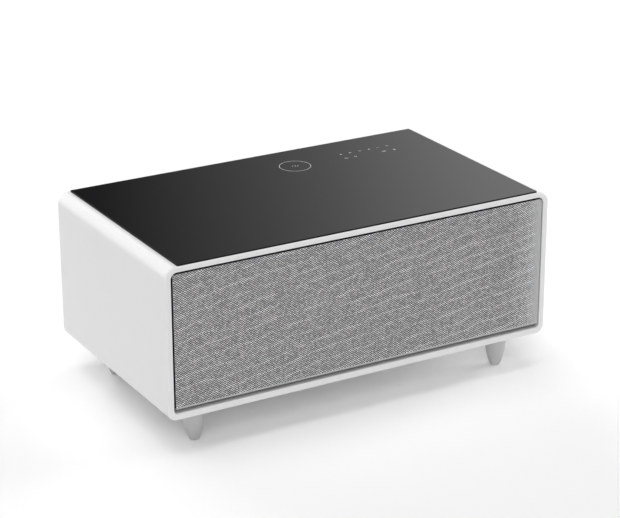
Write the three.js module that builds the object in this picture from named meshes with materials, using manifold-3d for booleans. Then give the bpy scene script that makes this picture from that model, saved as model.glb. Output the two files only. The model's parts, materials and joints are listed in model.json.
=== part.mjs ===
// Refrigerator coffee table. A white wrapped cabinet stands on four tapered legs. It carries
// a black glass top, an insulated drawer with a cloth front on telescopic slides, and the
// cooling machinery in a compartment across its back.
// Millimetres, +Z up, the front faces -Y, and the origin is on the floor under the middle.
import * as THREE from "three";
import { mergeVertices } from "three/addons/utils/BufferGeometryUtils.js";
import Module from "manifold-3d";

const wasm = await Module();
wasm.setup();

// Driving dimensions
const cabinet = {
  width: 1000,
  depth: 565,
  height: 359,
  legHeight: 88,
  shoulder: 29,
  lowCorner: 21,
  sideWall: 14.5,
  topWall: 13.5,
  floorWall: 16,
  mouthRadius: 15,
  mouthLowRadius: 7,
  lipRound: 4,
  rearRound: 2,
  mouthRound: 2.5,
};
const storage = { topInsulation: 27.5, floorInsulation: 32, sideInsulation: 40.5, backInsulation: 35 };
const machineRoom = { depth: 124.7 };
const door = { depth: 47, gap: 2.5, fingerSlot: 9.5 };

// Clearances: seat is left where two pieces touch, run where one slides or turns in the other,
// and overrun is how far a cutting solid passes through the wall that it cuts. sharp is the
// smallest radius of a corner.
const seat = 0.3;
const run = 0.5;
const overrun = 5;
const sharp = 0.2;
const weld = 0.001;

// Facets of round forms
const facets = {
  shoulderSteps: 6,
  cornerSteps: 3,
  edgeSteps: 2,
  lipSteps: 3,
  bendSteps: 3,
  roundSides: 16,
  smallSides: 8,
  coilSides: 20,
  pipeSides: 7,
  thinPipeSides: 5,
};

// Finishes
const finish = (color, roughness, metalness = 0) =>
  new THREE.MeshStandardMaterial({ color, roughness, metalness });
const whiteShell = finish(0xf2f2f1, 0.35);
const blackGlass = finish(0x17181a, 0.08);
const legGrey = finish(0xc9cac9, 0.45);
const greyCloth = finish(0xa3a4a4, 0.95);
const linerWhite = finish(0xe9ebec, 0.4);
const foamCream = finish(0xe3d3a0, 0.95);
const fibreboard = finish(0x8c7a62, 0.8);
const rubberGrey = finish(0x77797b, 0.8);
const rubberBlack = finish(0x1c1c1d, 0.85);
const plasticBlack = finish(0x242527, 0.5);
const clearGrey = finish(0xd5d9dc, 0.3);
const steel = finish(0xb7babd, 0.35, 1);
const galvanised = finish(0x9da1a3, 0.5, 1);
const paintedSteel = finish(0x1f2022, 0.45, 0.2);
const copper = finish(0xb87347, 0.3, 1);
const aluminium = finish(0xc4c7c9, 0.35, 1);
const circuitGreen = finish(0x2c5a3c, 0.6);

// Rectangles with round corners, in the plane that a section lies in. The two lower corners
// can have a radius of their own.
const rectangle = (left, right, low, high, radius, lowRadius = radius) =>
  ({ left, right, low, high, radius, lowRadius });
const centred = (half, low, high, radius) => rectangle(-half, half, low, high, radius);
const about = (u, v, halfU, halfV, radius) => rectangle(u - halfU, u + halfU, v - halfV, v + halfV, radius);
const inset = (r, by) => {
  const radii = [r.radius, r.lowRadius].map((radius) => Math.max(radius - by, sharp));
  return rectangle(r.left + by, r.right - by, r.low + by, r.high - by, ...radii);
};

// Where a section's own two directions and its stacking direction go in the table
const stackX = (u, v, w) => [w, u, v];
const stackY = (u, v, w) => [u, w, v];
const stackZ = (u, v, w) => [u, v, w];

function outlineOf(r, steps = facets.cornerSteps) {
  const corners = [
    [r.right - r.lowRadius, r.low + r.lowRadius, r.lowRadius, -Math.PI / 2],
    [r.right - r.radius, r.high - r.radius, r.radius, 0],
    [r.left + r.radius, r.high - r.radius, r.radius, Math.PI / 2],
    [r.left + r.lowRadius, r.low + r.lowRadius, r.lowRadius, Math.PI],
  ];
  return corners.flatMap(([u, v, radius, start]) =>
    Array.from({ length: steps + 1 }, (_, i) => {
      const angle = start + ((Math.PI / 2) * i) / steps;
      return [u + radius * Math.cos(angle), v + radius * Math.sin(angle)];
    }),
  );
}

// An indexed surface with every face turned outwards.
function outward(positions, index) {
  const corner = (i) => new THREE.Vector3().fromArray(positions, 3 * i);
  let volume = 0;
  for (let i = 0; i < index.length; i += 3)
    volume += corner(index[i]).dot(corner(index[i + 1]).cross(corner(index[i + 2])));
  if (volume < 0) index.reverse();
  const geometry = new THREE.BufferGeometry();
  geometry.setAttribute("position", new THREE.Float32BufferAttribute(positions, 3));
  geometry.setIndex(index);
  return geometry;
}

// A skin over sections with as many points each. It is capped at both ends, or joined into a ring.
function loft(sections, stack, ring = false) {
  const count = sections[0].outline.length;
  const positions = sections.flatMap(({ outline, at }) => outline.flatMap(([u, v]) => stack(u, v, at)));
  const index = [];
  const bands = ring ? sections.length : sections.length - 1;
  for (let band = 0; band < bands; band++) {
    const here = band * count;
    const next = ((band + 1) % sections.length) * count;
    for (let i = 0; i < count; i++) {
      const j = (i + 1) % count;
      index.push(here + i, here + j, next + j, here + i, next + j, next + i);
    }
  }
  const last = (sections.length - 1) * count;
  for (let i = 1; i < count - 1 && !ring; i++) index.push(0, i + 1, i, last, last + i, last + i + 1);
  return outward(positions, index);
}

const section = (r, at, steps) => ({ outline: outlineOf(r, steps), at });

// Quarter-round steps from a flat end to a side wall. A radius of zero leaves the edge square.
function quarter(radius, steps = facets.edgeSteps) {
  if (radius === 0) return [{ in: 0, on: 0 }];
  return Array.from({ length: steps + 1 }, (_, i) => {
    const angle = ((Math.PI / 2) * i) / steps;
    return { in: radius * (1 - Math.sin(angle)), on: radius * (1 - Math.cos(angle)) };
  });
}

// A block with round corners, and with rounded edges at its two ends.
function slab(r, from, to, round, stack, steps) {
  const way = Math.sign(to - from);
  const edge = quarter(round, 1);
  return loft(
    [
      ...edge.map((q) => section(inset(r, q.in), from + way * q.on, steps)),
      ...edge.toReversed().map((q) => section(inset(r, q.in), to - way * q.on, steps)),
    ],
    stack,
  );
}

// A flat frame with square edges.
function flatFrame(outer, inner, from, to, stack, steps) {
  const turns = [[outer, from], [outer, to], [inner, to], [inner, from]];
  return loft(turns.map(([r, at]) => section(r, at, steps)), stack, true);
}

// A plain plate or block with round corners.
const plate = (r, from, to, stack, steps) => loft([section(r, from, steps), section(r, to, steps)], stack);

// An open box: its rim is at open, its outside ends at closed and its inside at floor.
function pan({ outer, inner, open, closed, floor, round }, stack, steps) {
  const way = Math.sign(open - closed);
  const edge = quarter(round);
  return loft(
    [
      ...edge.map((q) => section(inset(outer, q.in), closed + way * q.on, steps)),
      section(outer, open, steps),
      section(inner, open, steps),
      ...edge.toReversed().map((q) => section(inset(inner, q.in), floor + way * q.on, steps)),
    ],
    stack,
  );
}

// A geometry whose own x, y and z are sent to the table by a stack.
function restacked(geometry, stack) {
  const flat = geometry.index ? geometry.toNonIndexed() : geometry;
  const source = flat.attributes.position;
  const positions = [];
  for (let i = 0; i < source.count; i++)
    positions.push(...stack(source.getX(i), source.getY(i), source.getZ(i)));
  return outward(positions, Array.from({ length: source.count }, (_, i) => i));
}

const vectors = (points) => points.map(([u, v]) => new THREE.Vector2(u, v));
const polygon = (points) => new THREE.Shape(vectors(points));
const opening = (points) => new THREE.Path(vectors(points));
const cornersOf = (r) => [[r.left, r.low], [r.right, r.low], [r.right, r.high], [r.left, r.high]];

function extrude(shape, from, to, stack, curveSegments = facets.roundSides) {
  const options = { depth: to - from, bevelEnabled: false, curveSegments };
  return restacked(new THREE.ExtrudeGeometry(shape, options), (u, v, w) => stack(u, v, from + w));
}

const span = (half) => [-half, half];

function block(x, y, z) {
  const geometry = new THREE.BoxGeometry(x[1] - x[0], y[1] - y[0], z[1] - z[0]);
  return geometry.translate((x[0] + x[1]) / 2, (y[0] + y[1]) / 2, (z[0] + z[1]) / 2);
}

// A profile of radius and height, turned round the axis that its heights are stacked along.
function turned(profile, sides, stack = stackZ) {
  return restacked(new THREE.LatheGeometry(vectors(profile), sides), (u, v, w) => stack(u, w, v));
}

const rod = (radius, from, to, sides = facets.smallSides, stack = stackZ) =>
  turned([[0, from], [radius, from], [radius, to], [0, to]], sides, stack);

// A path of straight runs and round bends, which has stations only where it turns.
class BentPath extends THREE.Curve {
  constructor(corners, bend) {
    super();
    const points = corners.map((p) => new THREE.Vector3(...p));
    const toward = (from, to) => to.clone().sub(from).setLength(bend).add(from);
    const bends = points.slice(1, -1).flatMap((corner, i) => {
      const from = toward(corner, points[i]);
      const to = toward(corner, points[i + 2]);
      return new THREE.QuadraticBezierCurve3(from, corner, to).getPoints(facets.bendSteps);
    });
    this.stations = [points[0], ...bends, points.at(-1)];
  }
  get steps() {
    return this.stations.length - 1;
  }
  getPointAt(along, target = new THREE.Vector3()) {
    return target.copy(this.stations[Math.round(along * this.steps)]);
  }
  getTangentAt(along, target = new THREE.Vector3()) {
    const i = Math.round(along * this.steps);
    const here = this.stations[i];
    const before = here.clone().sub(this.stations[Math.max(i - 1, 0)]).normalize();
    const after = this.stations[Math.min(i + 1, this.steps)].clone().sub(here).normalize();
    return target.copy(before).add(after).normalize();
  }
}

function pipeThrough(corners, radius, bend, sides = facets.pipeSides) {
  const circle = Array.from({ length: sides }, (_, i) => [
    radius * Math.cos((2 * Math.PI * i) / sides),
    radius * Math.sin((2 * Math.PI * i) / sides),
  ]);
  const path = new BentPath(corners, bend);
  const geometry = new THREE.ExtrudeGeometry(polygon(circle), { steps: path.steps, extrudePath: path });
  return restacked(geometry, stackZ);
}

// Boolean cuts and joins
function solidOf(geometry) {
  const bare = geometry.clone();
  bare.deleteAttribute("normal");
  bare.deleteAttribute("uv");
  const merged = mergeVertices(bare, weld);
  return new wasm.Manifold(
    new wasm.Mesh({
      numProp: 3,
      vertProperties: merged.attributes.position.array,
      triVerts: new Uint32Array(merged.index.array),
    }),
  );
}

function geometryOf(solid) {
  const { numProp, vertProperties, triVerts } = solid.getMesh();
  const positions = [];
  for (let i = 0; i < vertProperties.length; i += numProp)
    positions.push(vertProperties[i], vertProperties[i + 1], vertProperties[i + 2]);
  return outward(positions, Array.from(triVerts));
}

const cut = (geometry, ...tools) =>
  geometryOf(tools.reduce((solid, tool) => solid.subtract(solidOf(tool)), solidOf(geometry)));
const join = (geometry, ...others) =>
  geometryOf(others.reduce((solid, other) => solid.add(solidOf(other)), solidOf(geometry)));
const moved = (geometry, x, y, z) => geometry.clone().translate(x, y, z);

const table = new THREE.Group();

function subassembly(name) {
  const group = new THREE.Group();
  group.name = name;
  table.add(group);
  return group;
}

function add(group, name, geometry, material, position = [0, 0, 0]) {
  const shown = geometry.index ? geometry.toNonIndexed() : geometry;
  shown.computeVertexNormals();
  const mesh = new THREE.Mesh(shown, material);
  mesh.name = name;
  mesh.position.set(...position);
  group.add(mesh);
}

// Places worked out from the driving dimensions
const halfWidth = cabinet.width / 2;
const frontY = -cabinet.depth / 2;
const backY = cabinet.depth / 2;
const bodyLow = cabinet.legHeight;
const bodyHigh = bodyLow + cabinet.height;
const { shoulder, lowCorner } = cabinet;
const outside = rectangle(-halfWidth, halfWidth, bodyLow, bodyHigh, shoulder, lowCorner);
const mouth = rectangle(
  cabinet.sideWall - halfWidth,
  halfWidth - cabinet.sideWall,
  bodyLow + cabinet.floorWall,
  bodyHigh - cabinet.topWall,
  cabinet.mouthRadius,
  cabinet.mouthLowRadius,
);
const fitted = inset(mouth, seat);
const sides = [["left", -1], ["right", 1]];

// Top glass, its recess and the bedding under it
const glass = {
  sideMargin: 31.5,
  frontMargin: 3,
  backMargin: 3,
  gap: 0.5,
  thickness: 6,
  proud: 3,
  corner: 3,
  arris: 0.6,
  ledge: 15,
};
const bedding = { thickness: 1.2, width: 9, fromEdge: 1 };
const glassTop = bodyHigh + glass.proud;
const glassLow = glassTop - glass.thickness;
const glassPlan = rectangle(
  glass.sideMargin - halfWidth,
  halfWidth - glass.sideMargin,
  frontY + glass.frontMargin,
  backY - glass.backMargin,
  glass.corner,
);
const recessFloor = glassLow - bedding.thickness - 2 * seat;
const recessPlan = inset(glassPlan, -glass.gap);
const servicePlan = inset(recessPlan, glass.ledge);

const glassPane = () => slab(glassPlan, glassLow, glassTop, glass.arris, stackZ, 2);

function beddingTape() {
  const outer = inset(glassPlan, bedding.fromEdge);
  const low = recessFloor + seat;
  return flatFrame(outer, inset(outer, bedding.width), low, low + bedding.thickness, stackZ, 1);
}

// Deck, charging coil and touch board, which lie under the glass
const deck = { thickness: 2.5 };
const touch = {
  inFromSide: 220,
  inFromBack: 111.5,
  halfLength: 88,
  halfWidth: 32,
  board: 1.6,
  pad: 8,
  pads: 6,
  pitch: 27,
};
const coil = { fromTouch: 208, inFromBack: 116.5, plateHalf: 43, ferrite: 1.2, outer: 38, inner: 20 };
const touchX = halfWidth - touch.inFromSide;
const touchY = backY - touch.inFromBack;
const coilX = touchX - coil.fromTouch;
const coilY = backY - coil.inFromBack;
const deckPlan = inset(servicePlan, run);
const deckTop = mouth.high + deck.thickness;
const onDeck = deckTop + seat;
const underGlass = glassLow - seat;

const topDeck = () => plate(deckPlan, mouth.high, deckTop, stackZ, 1);

function chargingCoil() {
  const plateTop = onDeck + coil.ferrite;
  const ferrite = block(span(coil.plateHalf), span(coil.plateHalf), [onDeck, plateTop]);
  const winding = new THREE.Shape().absarc(0, 0, coil.outer, 0, 2 * Math.PI);
  winding.holes.push(new THREE.Path().absarc(0, 0, coil.inner, 0, 2 * Math.PI, true));
  return join(ferrite, extrude(winding, plateTop - seat, underGlass, stackZ, facets.coilSides));
}

function touchBoard() {
  const boardTop = onDeck + touch.board;
  const board = block(span(touch.halfLength), span(touch.halfWidth), [onDeck, boardTop]);
  const pads = Array.from({ length: touch.pads }, (_, i) => {
    const x = touch.pitch * (i - (touch.pads - 1) / 2);
    return moved(rod(touch.pad, boardTop - seat, underGlass), x, touch.pitch / 2, 0);
  });
  return join(board, ...pads);
}

// Legs are turned, with a stud that screws into the cabinet's floor and a glide under the foot.
const leg = {
  inFromSide: 93,
  inFromFront: 66,
  inFromBack: 82,
  topRadius: 27,
  kneeRadius: 25,
  kneeHeight: 23,
  footRadius: 12,
  studRadius: 4,
  studLength: 11,
};
const glide = { height: 3, radius: 11, chamfer: 1, stemRadius: 3, stemHeight: 9 };
const bulgeShares = [0.53, 0.16];
const legPlaces = [
  ["front_left", leg.inFromSide - halfWidth, frontY + leg.inFromFront],
  ["front_right", halfWidth - leg.inFromSide, frontY + leg.inFromFront],
  ["back_left", leg.inFromSide - halfWidth, backY - leg.inFromBack],
  ["back_right", halfWidth - leg.inFromSide, backY - leg.inFromBack],
];

function legBody() {
  const top = cabinet.legHeight - seat;
  const foot = glide.height + seat;
  const bulge = new THREE.CubicBezierCurve(
    ...vectors([
      [leg.footRadius, foot],
      [leg.kneeRadius * bulgeShares[0], foot + leg.kneeHeight * bulgeShares[1]],
      [leg.kneeRadius, leg.kneeHeight],
      [leg.topRadius, top],
    ]),
  );
  const profile = [
    [0, foot],
    ...bulge.getPoints(facets.shoulderSteps).map((p) => [p.x, p.y]),
    [leg.studRadius, top],
    [leg.studRadius, top + leg.studLength],
    [0, top + leg.studLength],
  ];
  const stemHole = rod(glide.stemRadius + seat, foot - overrun, foot + glide.stemHeight);
  return cut(turned(profile, facets.roundSides), stemHole);
}

const legGlide = () =>
  turned(
    [
      [0, 0],
      [glide.radius - glide.chamfer, 0],
      [glide.radius, glide.chamfer],
      [glide.radius, glide.height],
      [glide.stemRadius, glide.height],
      [glide.stemRadius, glide.height + glide.stemHeight],
      [0, glide.height + glide.stemHeight],
    ],
    facets.smallSides,
  );

function cabinetWrap() {
  const lip = quarter(cabinet.lipRound, facets.lipSteps);
  const rearLip = quarter(cabinet.rearRound, 1);
  const mouthEdge = quarter(cabinet.mouthRound);
  const ring = (r, at) => section(r, at, facets.shoulderSteps);
  const shell = loft(
    [
      ...lip.map((q) => ring(inset(outside, q.in), frontY + q.on)),
      ...rearLip.toReversed().map((q) => ring(inset(outside, q.in), backY - q.on)),
      ...mouthEdge.map((q) => ring(inset(mouth, -q.in), backY - q.on)),
      ...mouthEdge.toReversed().map((q) => ring(inset(mouth, -q.in), frontY + q.on)),
    ],
    stackY,
    true,
  );
  const recess = plate(recessPlan, recessFloor, bodyHigh + overrun, stackZ, 2);
  const service = plate(servicePlan, mouth.high - overrun, bodyHigh, stackZ, 1);
  const studs = legPlaces.map(([, x, y]) =>
    moved(rod(leg.studRadius + run, bodyLow - overrun, bodyLow + leg.studLength + run), x, y, 0),
  );
  return cut(shell, recess, service, ...studs);
}

// Insulated cavity
const liner = { wall: 2.5, corner: 22, edge: 8 };
const flange = { thickness: 1.5 };
const bulkhead = { thickness: 1.5 };
const flangeFront = frontY + door.depth;
const linerFront = flangeFront + flange.thickness + seat;
const rear = { setback: 4, sheet: 2 };
const rearBack = backY - rear.setback;
const rearFront = rearBack - rear.sheet;
const compartmentFront = rearFront - machineRoom.depth;
const bulkheadFront = compartmentFront - bulkhead.thickness;
const foamBack = bulkheadFront - seat;
const linerBack = foamBack - storage.backInsulation;
const cavityBack = linerBack - liner.wall;
const onCavityBack = cavityBack - seat;
const cavityLow = mouth.low + storage.floorInsulation;
const cavityHigh = mouth.high - storage.topInsulation;
const cavity = centred(mouth.right - storage.sideInsulation, cavityLow, cavityHigh, liner.corner);
const linerOuter = inset(cavity, -liner.wall);

// Pipes through the back of the cavity: where each one passes and how thick it is
const suction = { x: 240, aboveFloor: 60, radius: 3, bend: 14, rise: 54 };
const capillary = { x: 264, radius: 1.2, bend: 5, drop: 14, front: 10, rise: 18 };
const drain = { x: 60, radius: 3.5, bend: 6, fromBulkhead: 7, aboveTray: 5, lift: 1 };

// The cover of the cold side stands on the cavity's back.
const cowl = {
  depth: 43,
  halfWidth: 290,
  margin: 14,
  wall: 2,
  corner: 16,
  round: 6,
  slot: 6,
  slotRadius: 2.5,
  pitch: 14,
  outletHalf: 70,
  outletOffset: 150,
  outletRows: 4,
  blowRows: 5,
  returnHalf: 74,
  returnPitch: 180,
  returnLift: 16,
};
const cowlLow = cavity.low + cowl.margin;
const cowlHigh = cavity.high - cowl.margin;
const cowlOutline = centred(cowl.halfWidth, cowlLow, cowlHigh, cowl.corner);
const cowlFront = onCavityBack - cowl.depth;
const cowlFloor = cowlFront + cowl.wall;

const passageZ = cavity.low + suction.aboveFloor;
const drainZ = cowlLow + cowl.wall + drain.radius + drain.lift;
const passageHoles = () =>
  [[suction, passageZ], [capillary, passageZ], [drain, drainZ]].map(([pipe, z]) => {
    const [from, to] = [cavityBack - overrun, compartmentFront + overrun];
    return moved(rod(pipe.radius + run, from, to, facets.smallSides, stackY), pipe.x, 0, z);
  });

function innerLiner() {
  const box = pan(
    {
      outer: linerOuter,
      inner: cavity,
      open: linerFront,
      closed: linerBack,
      floor: cavityBack,
      round: liner.edge,
    },
    stackY,
  );
  return cut(box, ...passageHoles());
}

function foamInsulation() {
  const body = pan(
    {
      outer: fitted,
      inner: inset(linerOuter, -seat),
      open: linerFront,
      closed: foamBack,
      floor: linerBack + seat,
      round: 0,
    },
    stackY,
  );
  return cut(body, ...passageHoles());
}

const frontFlange = () => flatFrame(fitted, cavity, flangeFront, flangeFront + flange.thickness, stackY);

const machineBulkhead = () =>
  cut(plate(fitted, bulkheadFront, compartmentFront, stackY), ...passageHoles());

// Drawer front: cloth over a board, an insulated core behind it, and a bellows gasket
const cloth = { thickness: 1, setback: 0.5, wrap: 9, round: 2.5 };
const backing = { thickness: 12, round: 1.8 };
const core = {
  fromFlange: 9,
  sideMargin: 3,
  bottomMargin: 1.5,
  topMargin: 4.5,
  round: 3,
  grooveDepth: 15,
  grooveHeight: 13,
  grooveInset: 45,
};
const gasket = { offset: 3, width: 16 };
const gasketShares = [
  [0.12, 0],
  [0.88, 0],
  [1, 0.2],
  [0.84, 0.5],
  [1, 0.76],
  [1, 1],
  [0, 1],
  [0, 0.76],
  [0.16, 0.5],
  [0, 0.2],
];
const clothOutline = rectangle(
  mouth.left + door.gap,
  mouth.right - door.gap,
  mouth.low + door.fingerSlot,
  mouth.high - door.gap,
  mouth.radius - door.gap,
  mouth.lowRadius - door.gap,
);
const clothFront = frontY + cloth.setback;
const boardFront = clothFront + cloth.thickness + seat;
const boardBack = boardFront + backing.thickness;
const coreFront = boardBack + seat;
const coreBack = flangeFront - core.fromFlange;
const gasketFront = coreBack + seat;
const gasketBack = flangeFront - seat;

const frontCloth = () =>
  pan(
    {
      outer: clothOutline,
      inner: inset(clothOutline, cloth.thickness),
      open: clothFront + cloth.wrap,
      closed: clothFront,
      floor: clothFront + cloth.thickness,
      round: cloth.round,
    },
    stackY,
  );

const boardOutline = inset(clothOutline, cloth.thickness + seat);
const doorBoard = () => slab(boardOutline, boardFront, boardBack, backing.round, stackY);

function doorCore() {
  const outline = rectangle(
    clothOutline.left + core.sideMargin,
    clothOutline.right - core.sideMargin,
    clothOutline.low + core.bottomMargin,
    clothOutline.high - core.topMargin,
    cabinet.mouthRadius,
  );
  const groove = rectangle(
    coreFront - core.round,
    coreFront + core.grooveDepth,
    outline.low - overrun,
    outline.low + core.grooveHeight,
    core.round,
  );
  const grooveEnds = [outline.left + core.grooveInset, outline.right - core.grooveInset];
  const fingerGroove = loft(grooveEnds.map((x) => section(groove, x)), stackX);
  return cut(slab(outline, coreFront, coreBack, core.round, stackY), fingerGroove);
}

// The gasket's section is drawn outwards from the cavity's edge and along the depth.
const doorGasket = () =>
  loft(
    gasketShares.map(([across, along]) =>
      section(
        inset(cavity, -gasket.offset - gasket.width * across),
        gasketFront + (gasketBack - gasketFront) * along,
      ),
    ),
    stackY,
    true,
  );

// Telescopic slides. Across is measured inwards from the cavity's wall, and up from the middle.
const slide = { endGap: 40.2, height: 45.6, depth: 12.7, sheet: 1.2, aboveFloor: 66, setback: 6 };
const cage = { length: 110, sheet: 0.6, ball: 1.9, pitch: 38, balls: 3, fromFront: 85 };
const slideX = cavity.right - seat;
const slideZ = cavity.low + slide.aboveFloor;
const slideFront = linerFront + slide.setback;
const slideBack = cavityBack - slide.endGap;
const outerUp = slide.height / 2;
const outerBallUp = outerUp - slide.sheet - seat - cage.ball;
const middleUp = outerBallUp - cage.ball - seat;
const innerBallUp = middleUp - slide.sheet - seat - cage.ball;
const innerUp = innerBallUp - cage.ball - seat;
const outerCageAcross = slide.sheet + seat;
const middleAcross = outerCageAcross + cage.sheet + seat;
const innerCageAcross = middleAcross + slide.sheet + seat;
const innerLipAcross = innerCageAcross + cage.sheet + seat;
const outerBallAcross = slide.depth / 2 + seat;
const innerBallAcross = (innerLipAcross + slide.depth) / 2;

// Side is 1 for the right-hand slide and -1 for the left-hand one.
const besideWall = (side) => (u, v, w) => [side * (slideX - u), w, slideZ + v];

// A channel of sheet, whose web stands at web and whose flanges end at lip.
function slideMember(side, web, lip, up) {
  const sheet = Math.sign(lip - web) * slide.sheet;
  const channel = polygon([
    [web, -up],
    [lip, -up],
    [lip, slide.sheet - up],
    [web + sheet, slide.sheet - up],
    [web + sheet, up - slide.sheet],
    [lip, up - slide.sheet],
    [lip, up],
    [web, up],
  ]);
  return extrude(channel, slideFront, slideBack, besideWall(side));
}

// A ball cage: a folded strip with a row of balls in each flange.
function ballCage(side, across, ballAcross, ballUp) {
  const half = cage.sheet / 2;
  const end = ballAcross + cage.ball / 2;
  const strip = polygon([
    [across, -ballUp - half],
    [end, -ballUp - half],
    [end, half - ballUp],
    [across + cage.sheet, half - ballUp],
    [across + cage.sheet, ballUp - half],
    [end, ballUp - half],
    [end, ballUp + half],
    [across, ballUp + half],
  ]);
  const front = slideFront + cage.fromFront;
  const firstBall = front + (cage.length - cage.pitch * (cage.balls - 1)) / 2;
  const balls = [-1, 1].flatMap((up) =>
    Array.from({ length: cage.balls }, (_, i) => {
      const place = besideWall(side)(ballAcross, up * ballUp, firstBall + i * cage.pitch);
      return moved(new THREE.OctahedronGeometry(cage.ball), ...place);
    }),
  );
  return join(extrude(strip, front, front + cage.length, besideWall(side)), ...balls);
}

// Drawer rails carry the bin between the slides and screw to the back of the door's core.
const rail = { sheet: 1.5, ledge: 16, ear: 24, rise: 26 };
const bin = {
  lift: 6,
  headroom: 21,
  wall: 3,
  corner: 18,
  edge: 7,
  rim: 5,
  rimHeight: 4,
  ribs: 5,
  rib: 2.5,
  backGap: 5,
};
const railOut = slideX - slide.depth - seat;
const railIn = railOut - rail.sheet;
const railFront = coreBack + seat;
const railTop = slideZ + rail.rise;
const binLow = cavity.low + bin.lift;
const railLow = binLow - seat - rail.sheet;
const binFront = railFront + rail.sheet + seat;
const binBack = cowlFront - bin.backGap;

function drawerRail(side) {
  const place = (u, v, w) => [side * u, w, v];
  const angle = polygon([
    [railIn - rail.ledge, railLow],
    [railOut, railLow],
    [railOut, railTop],
    [railIn, railTop],
    [railIn, railLow + rail.sheet],
    [railIn - rail.ledge, railLow + rail.sheet],
  ]);
  const ear = polygon(cornersOf(rectangle(railOut - rail.ear, railOut, railLow, railTop)));
  return join(
    extrude(angle, railFront, slideBack, place),
    extrude(ear, railFront, railFront + rail.sheet, place),
  );
}

function drawerBin() {
  const halfBin = railIn - seat;
  const plan = rectangle(-halfBin, halfBin, binFront + bin.rim, binBack - bin.rim, bin.corner);
  const rimPlan = rectangle(-halfBin, halfBin, binFront, binBack, bin.corner);
  const within = inset(plan, bin.wall);
  const top = cavity.high - bin.headroom;
  const rimLow = top - bin.rimHeight;
  const floor = binLow + bin.wall;
  const edge = quarter(bin.edge);
  const shell = loft(
    [
      ...edge.map((q) => section(inset(plan, q.in), binLow + q.on)),
      section(plan, rimLow - bin.rim),
      section(rimPlan, rimLow),
      section(rimPlan, top),
      section(within, top),
      ...edge.toReversed().map((q) => section(inset(within, q.in), floor + q.on)),
    ],
    stackZ,
  );
  const pitch = (within.right - within.left) / (bin.ribs + 1);
  const ribs = Array.from({ length: bin.ribs }, (_, i) => {
    const x = within.left + pitch * (i + 1);
    return block(
      [x - bin.rib / 2, x + bin.rib / 2],
      [within.low + bin.corner, within.high - bin.corner],
      [floor - bin.rib / 2, floor + bin.rib],
    );
  });
  return join(shell, ...ribs);
}

// Axial fans. A fan's front is at 0, and the struts at its back carry the rotor.
const fan = { tip: 1.5, struts: 3, strut: 4, strutDepth: 3, blade: 1.8, chord: 25 };
const condenserFan = { ...fan, half: 60, depth: 25, wall: 3, hub: 20, blades: 7 };
const evaporatorFan = { ...fan, half: 46, depth: 22, wall: 2.5, hub: 15, blades: 5 };
const bladeDegrees = [48, 34, 26];
const strutDegrees = 30;
const bladeShares = { root: 0.8, chords: [0.7, 0.9, 1], rake: 0.75, nose: 0.85 };
const foilShares = [[-1, -1], [0, -1.6], [1, -1], [1, 1], [0, 0.4], [-1, 1]];

function fanFrame({ half, depth, wall, hub, struts, strut, strutDepth }) {
  const shape = polygon(outlineOf(about(0, 0, half, half, wall), 1));
  shape.holes.push(new THREE.Path().absarc(0, 0, half - wall, 0, 2 * Math.PI, true));
  const strutFront = depth - strutDepth;
  const bars = Array.from({ length: struts }, (_, i) => {
    const bar = block([0, half - wall / 2], [strutFront, depth], span(strut / 2));
    return bar.rotateY((2 * Math.PI * i) / struts + THREE.MathUtils.degToRad(strutDegrees));
  });
  const motor = rod(hub, strutFront, depth, facets.smallSides, stackY);
  return join(extrude(shape, 0, depth, stackY), ...bars, motor);
}

// A blade is lofted along the radius, with each section wrapped on its own cylinder.
function fanBlade({ half, depth, wall, tip, hub, strutDepth, blade, chord }, around) {
  const reach = half - wall - tip;
  const middle = (depth - strutDepth - run) / 2;
  const radii = [hub * bladeShares.root, (hub + reach) / 2, reach];
  const sections = radii.map((radius, i) => {
    const pitch = THREE.MathUtils.degToRad(bladeDegrees[i]);
    const outline = foilShares.map(([alongShare, acrossShare]) => {
      const along = (alongShare * bladeShares.chords[i] * chord) / 2;
      const across = (acrossShare * blade) / 2;
      return [
        along * Math.cos(pitch) - across * Math.sin(pitch),
        middle + along * Math.sin(pitch) * bladeShares.rake + across * Math.cos(pitch),
      ];
    });
    return { outline, at: radius };
  });
  return loft(sections, (u, v, w) => [w * Math.cos(around + u / w), v, w * Math.sin(around + u / w)]);
}

function fanRotor(size) {
  const { wall, hub, depth, strutDepth, blades } = size;
  const rearFace = depth - strutDepth - run;
  const nose = [[0, wall], [hub * bladeShares.nose, wall], [hub, 2 * wall]];
  const profile = [...nose, [hub, rearFace], [0, rearFace]];
  const ring = Array.from({ length: blades }, (_, i) => fanBlade(size, (2 * Math.PI * i) / blades));
  return join(turned(profile, facets.roundSides, stackY), ...ring);
}

// A heat exchanger: flat tubes between two round headers, with fins across them
function finCore({ halfLength, halfHeight, depth, fins, tubes, bar, header, finInset }) {
  const finPitch = (2 * halfLength - bar) / (fins - 1);
  const tubePitch = (2 * halfHeight - bar) / (tubes - 1);
  const tubeBars = Array.from({ length: tubes }, (_, i) => {
    const low = i * tubePitch - halfHeight;
    return block(span(halfLength), [0, depth], [low, low + bar]);
  });
  const finPlates = Array.from({ length: fins }, (_, i) => {
    const left = i * finPitch - halfLength;
    return block([left, left + bar], [finInset, depth - finInset], span(halfHeight));
  });
  const headers = [-1, 1].map((side) =>
    moved(rod(header, -halfHeight, halfHeight), side * (halfLength + header / 2), depth / 2, 0),
  );
  return join(...tubeBars, ...finPlates, ...headers);
}

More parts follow.
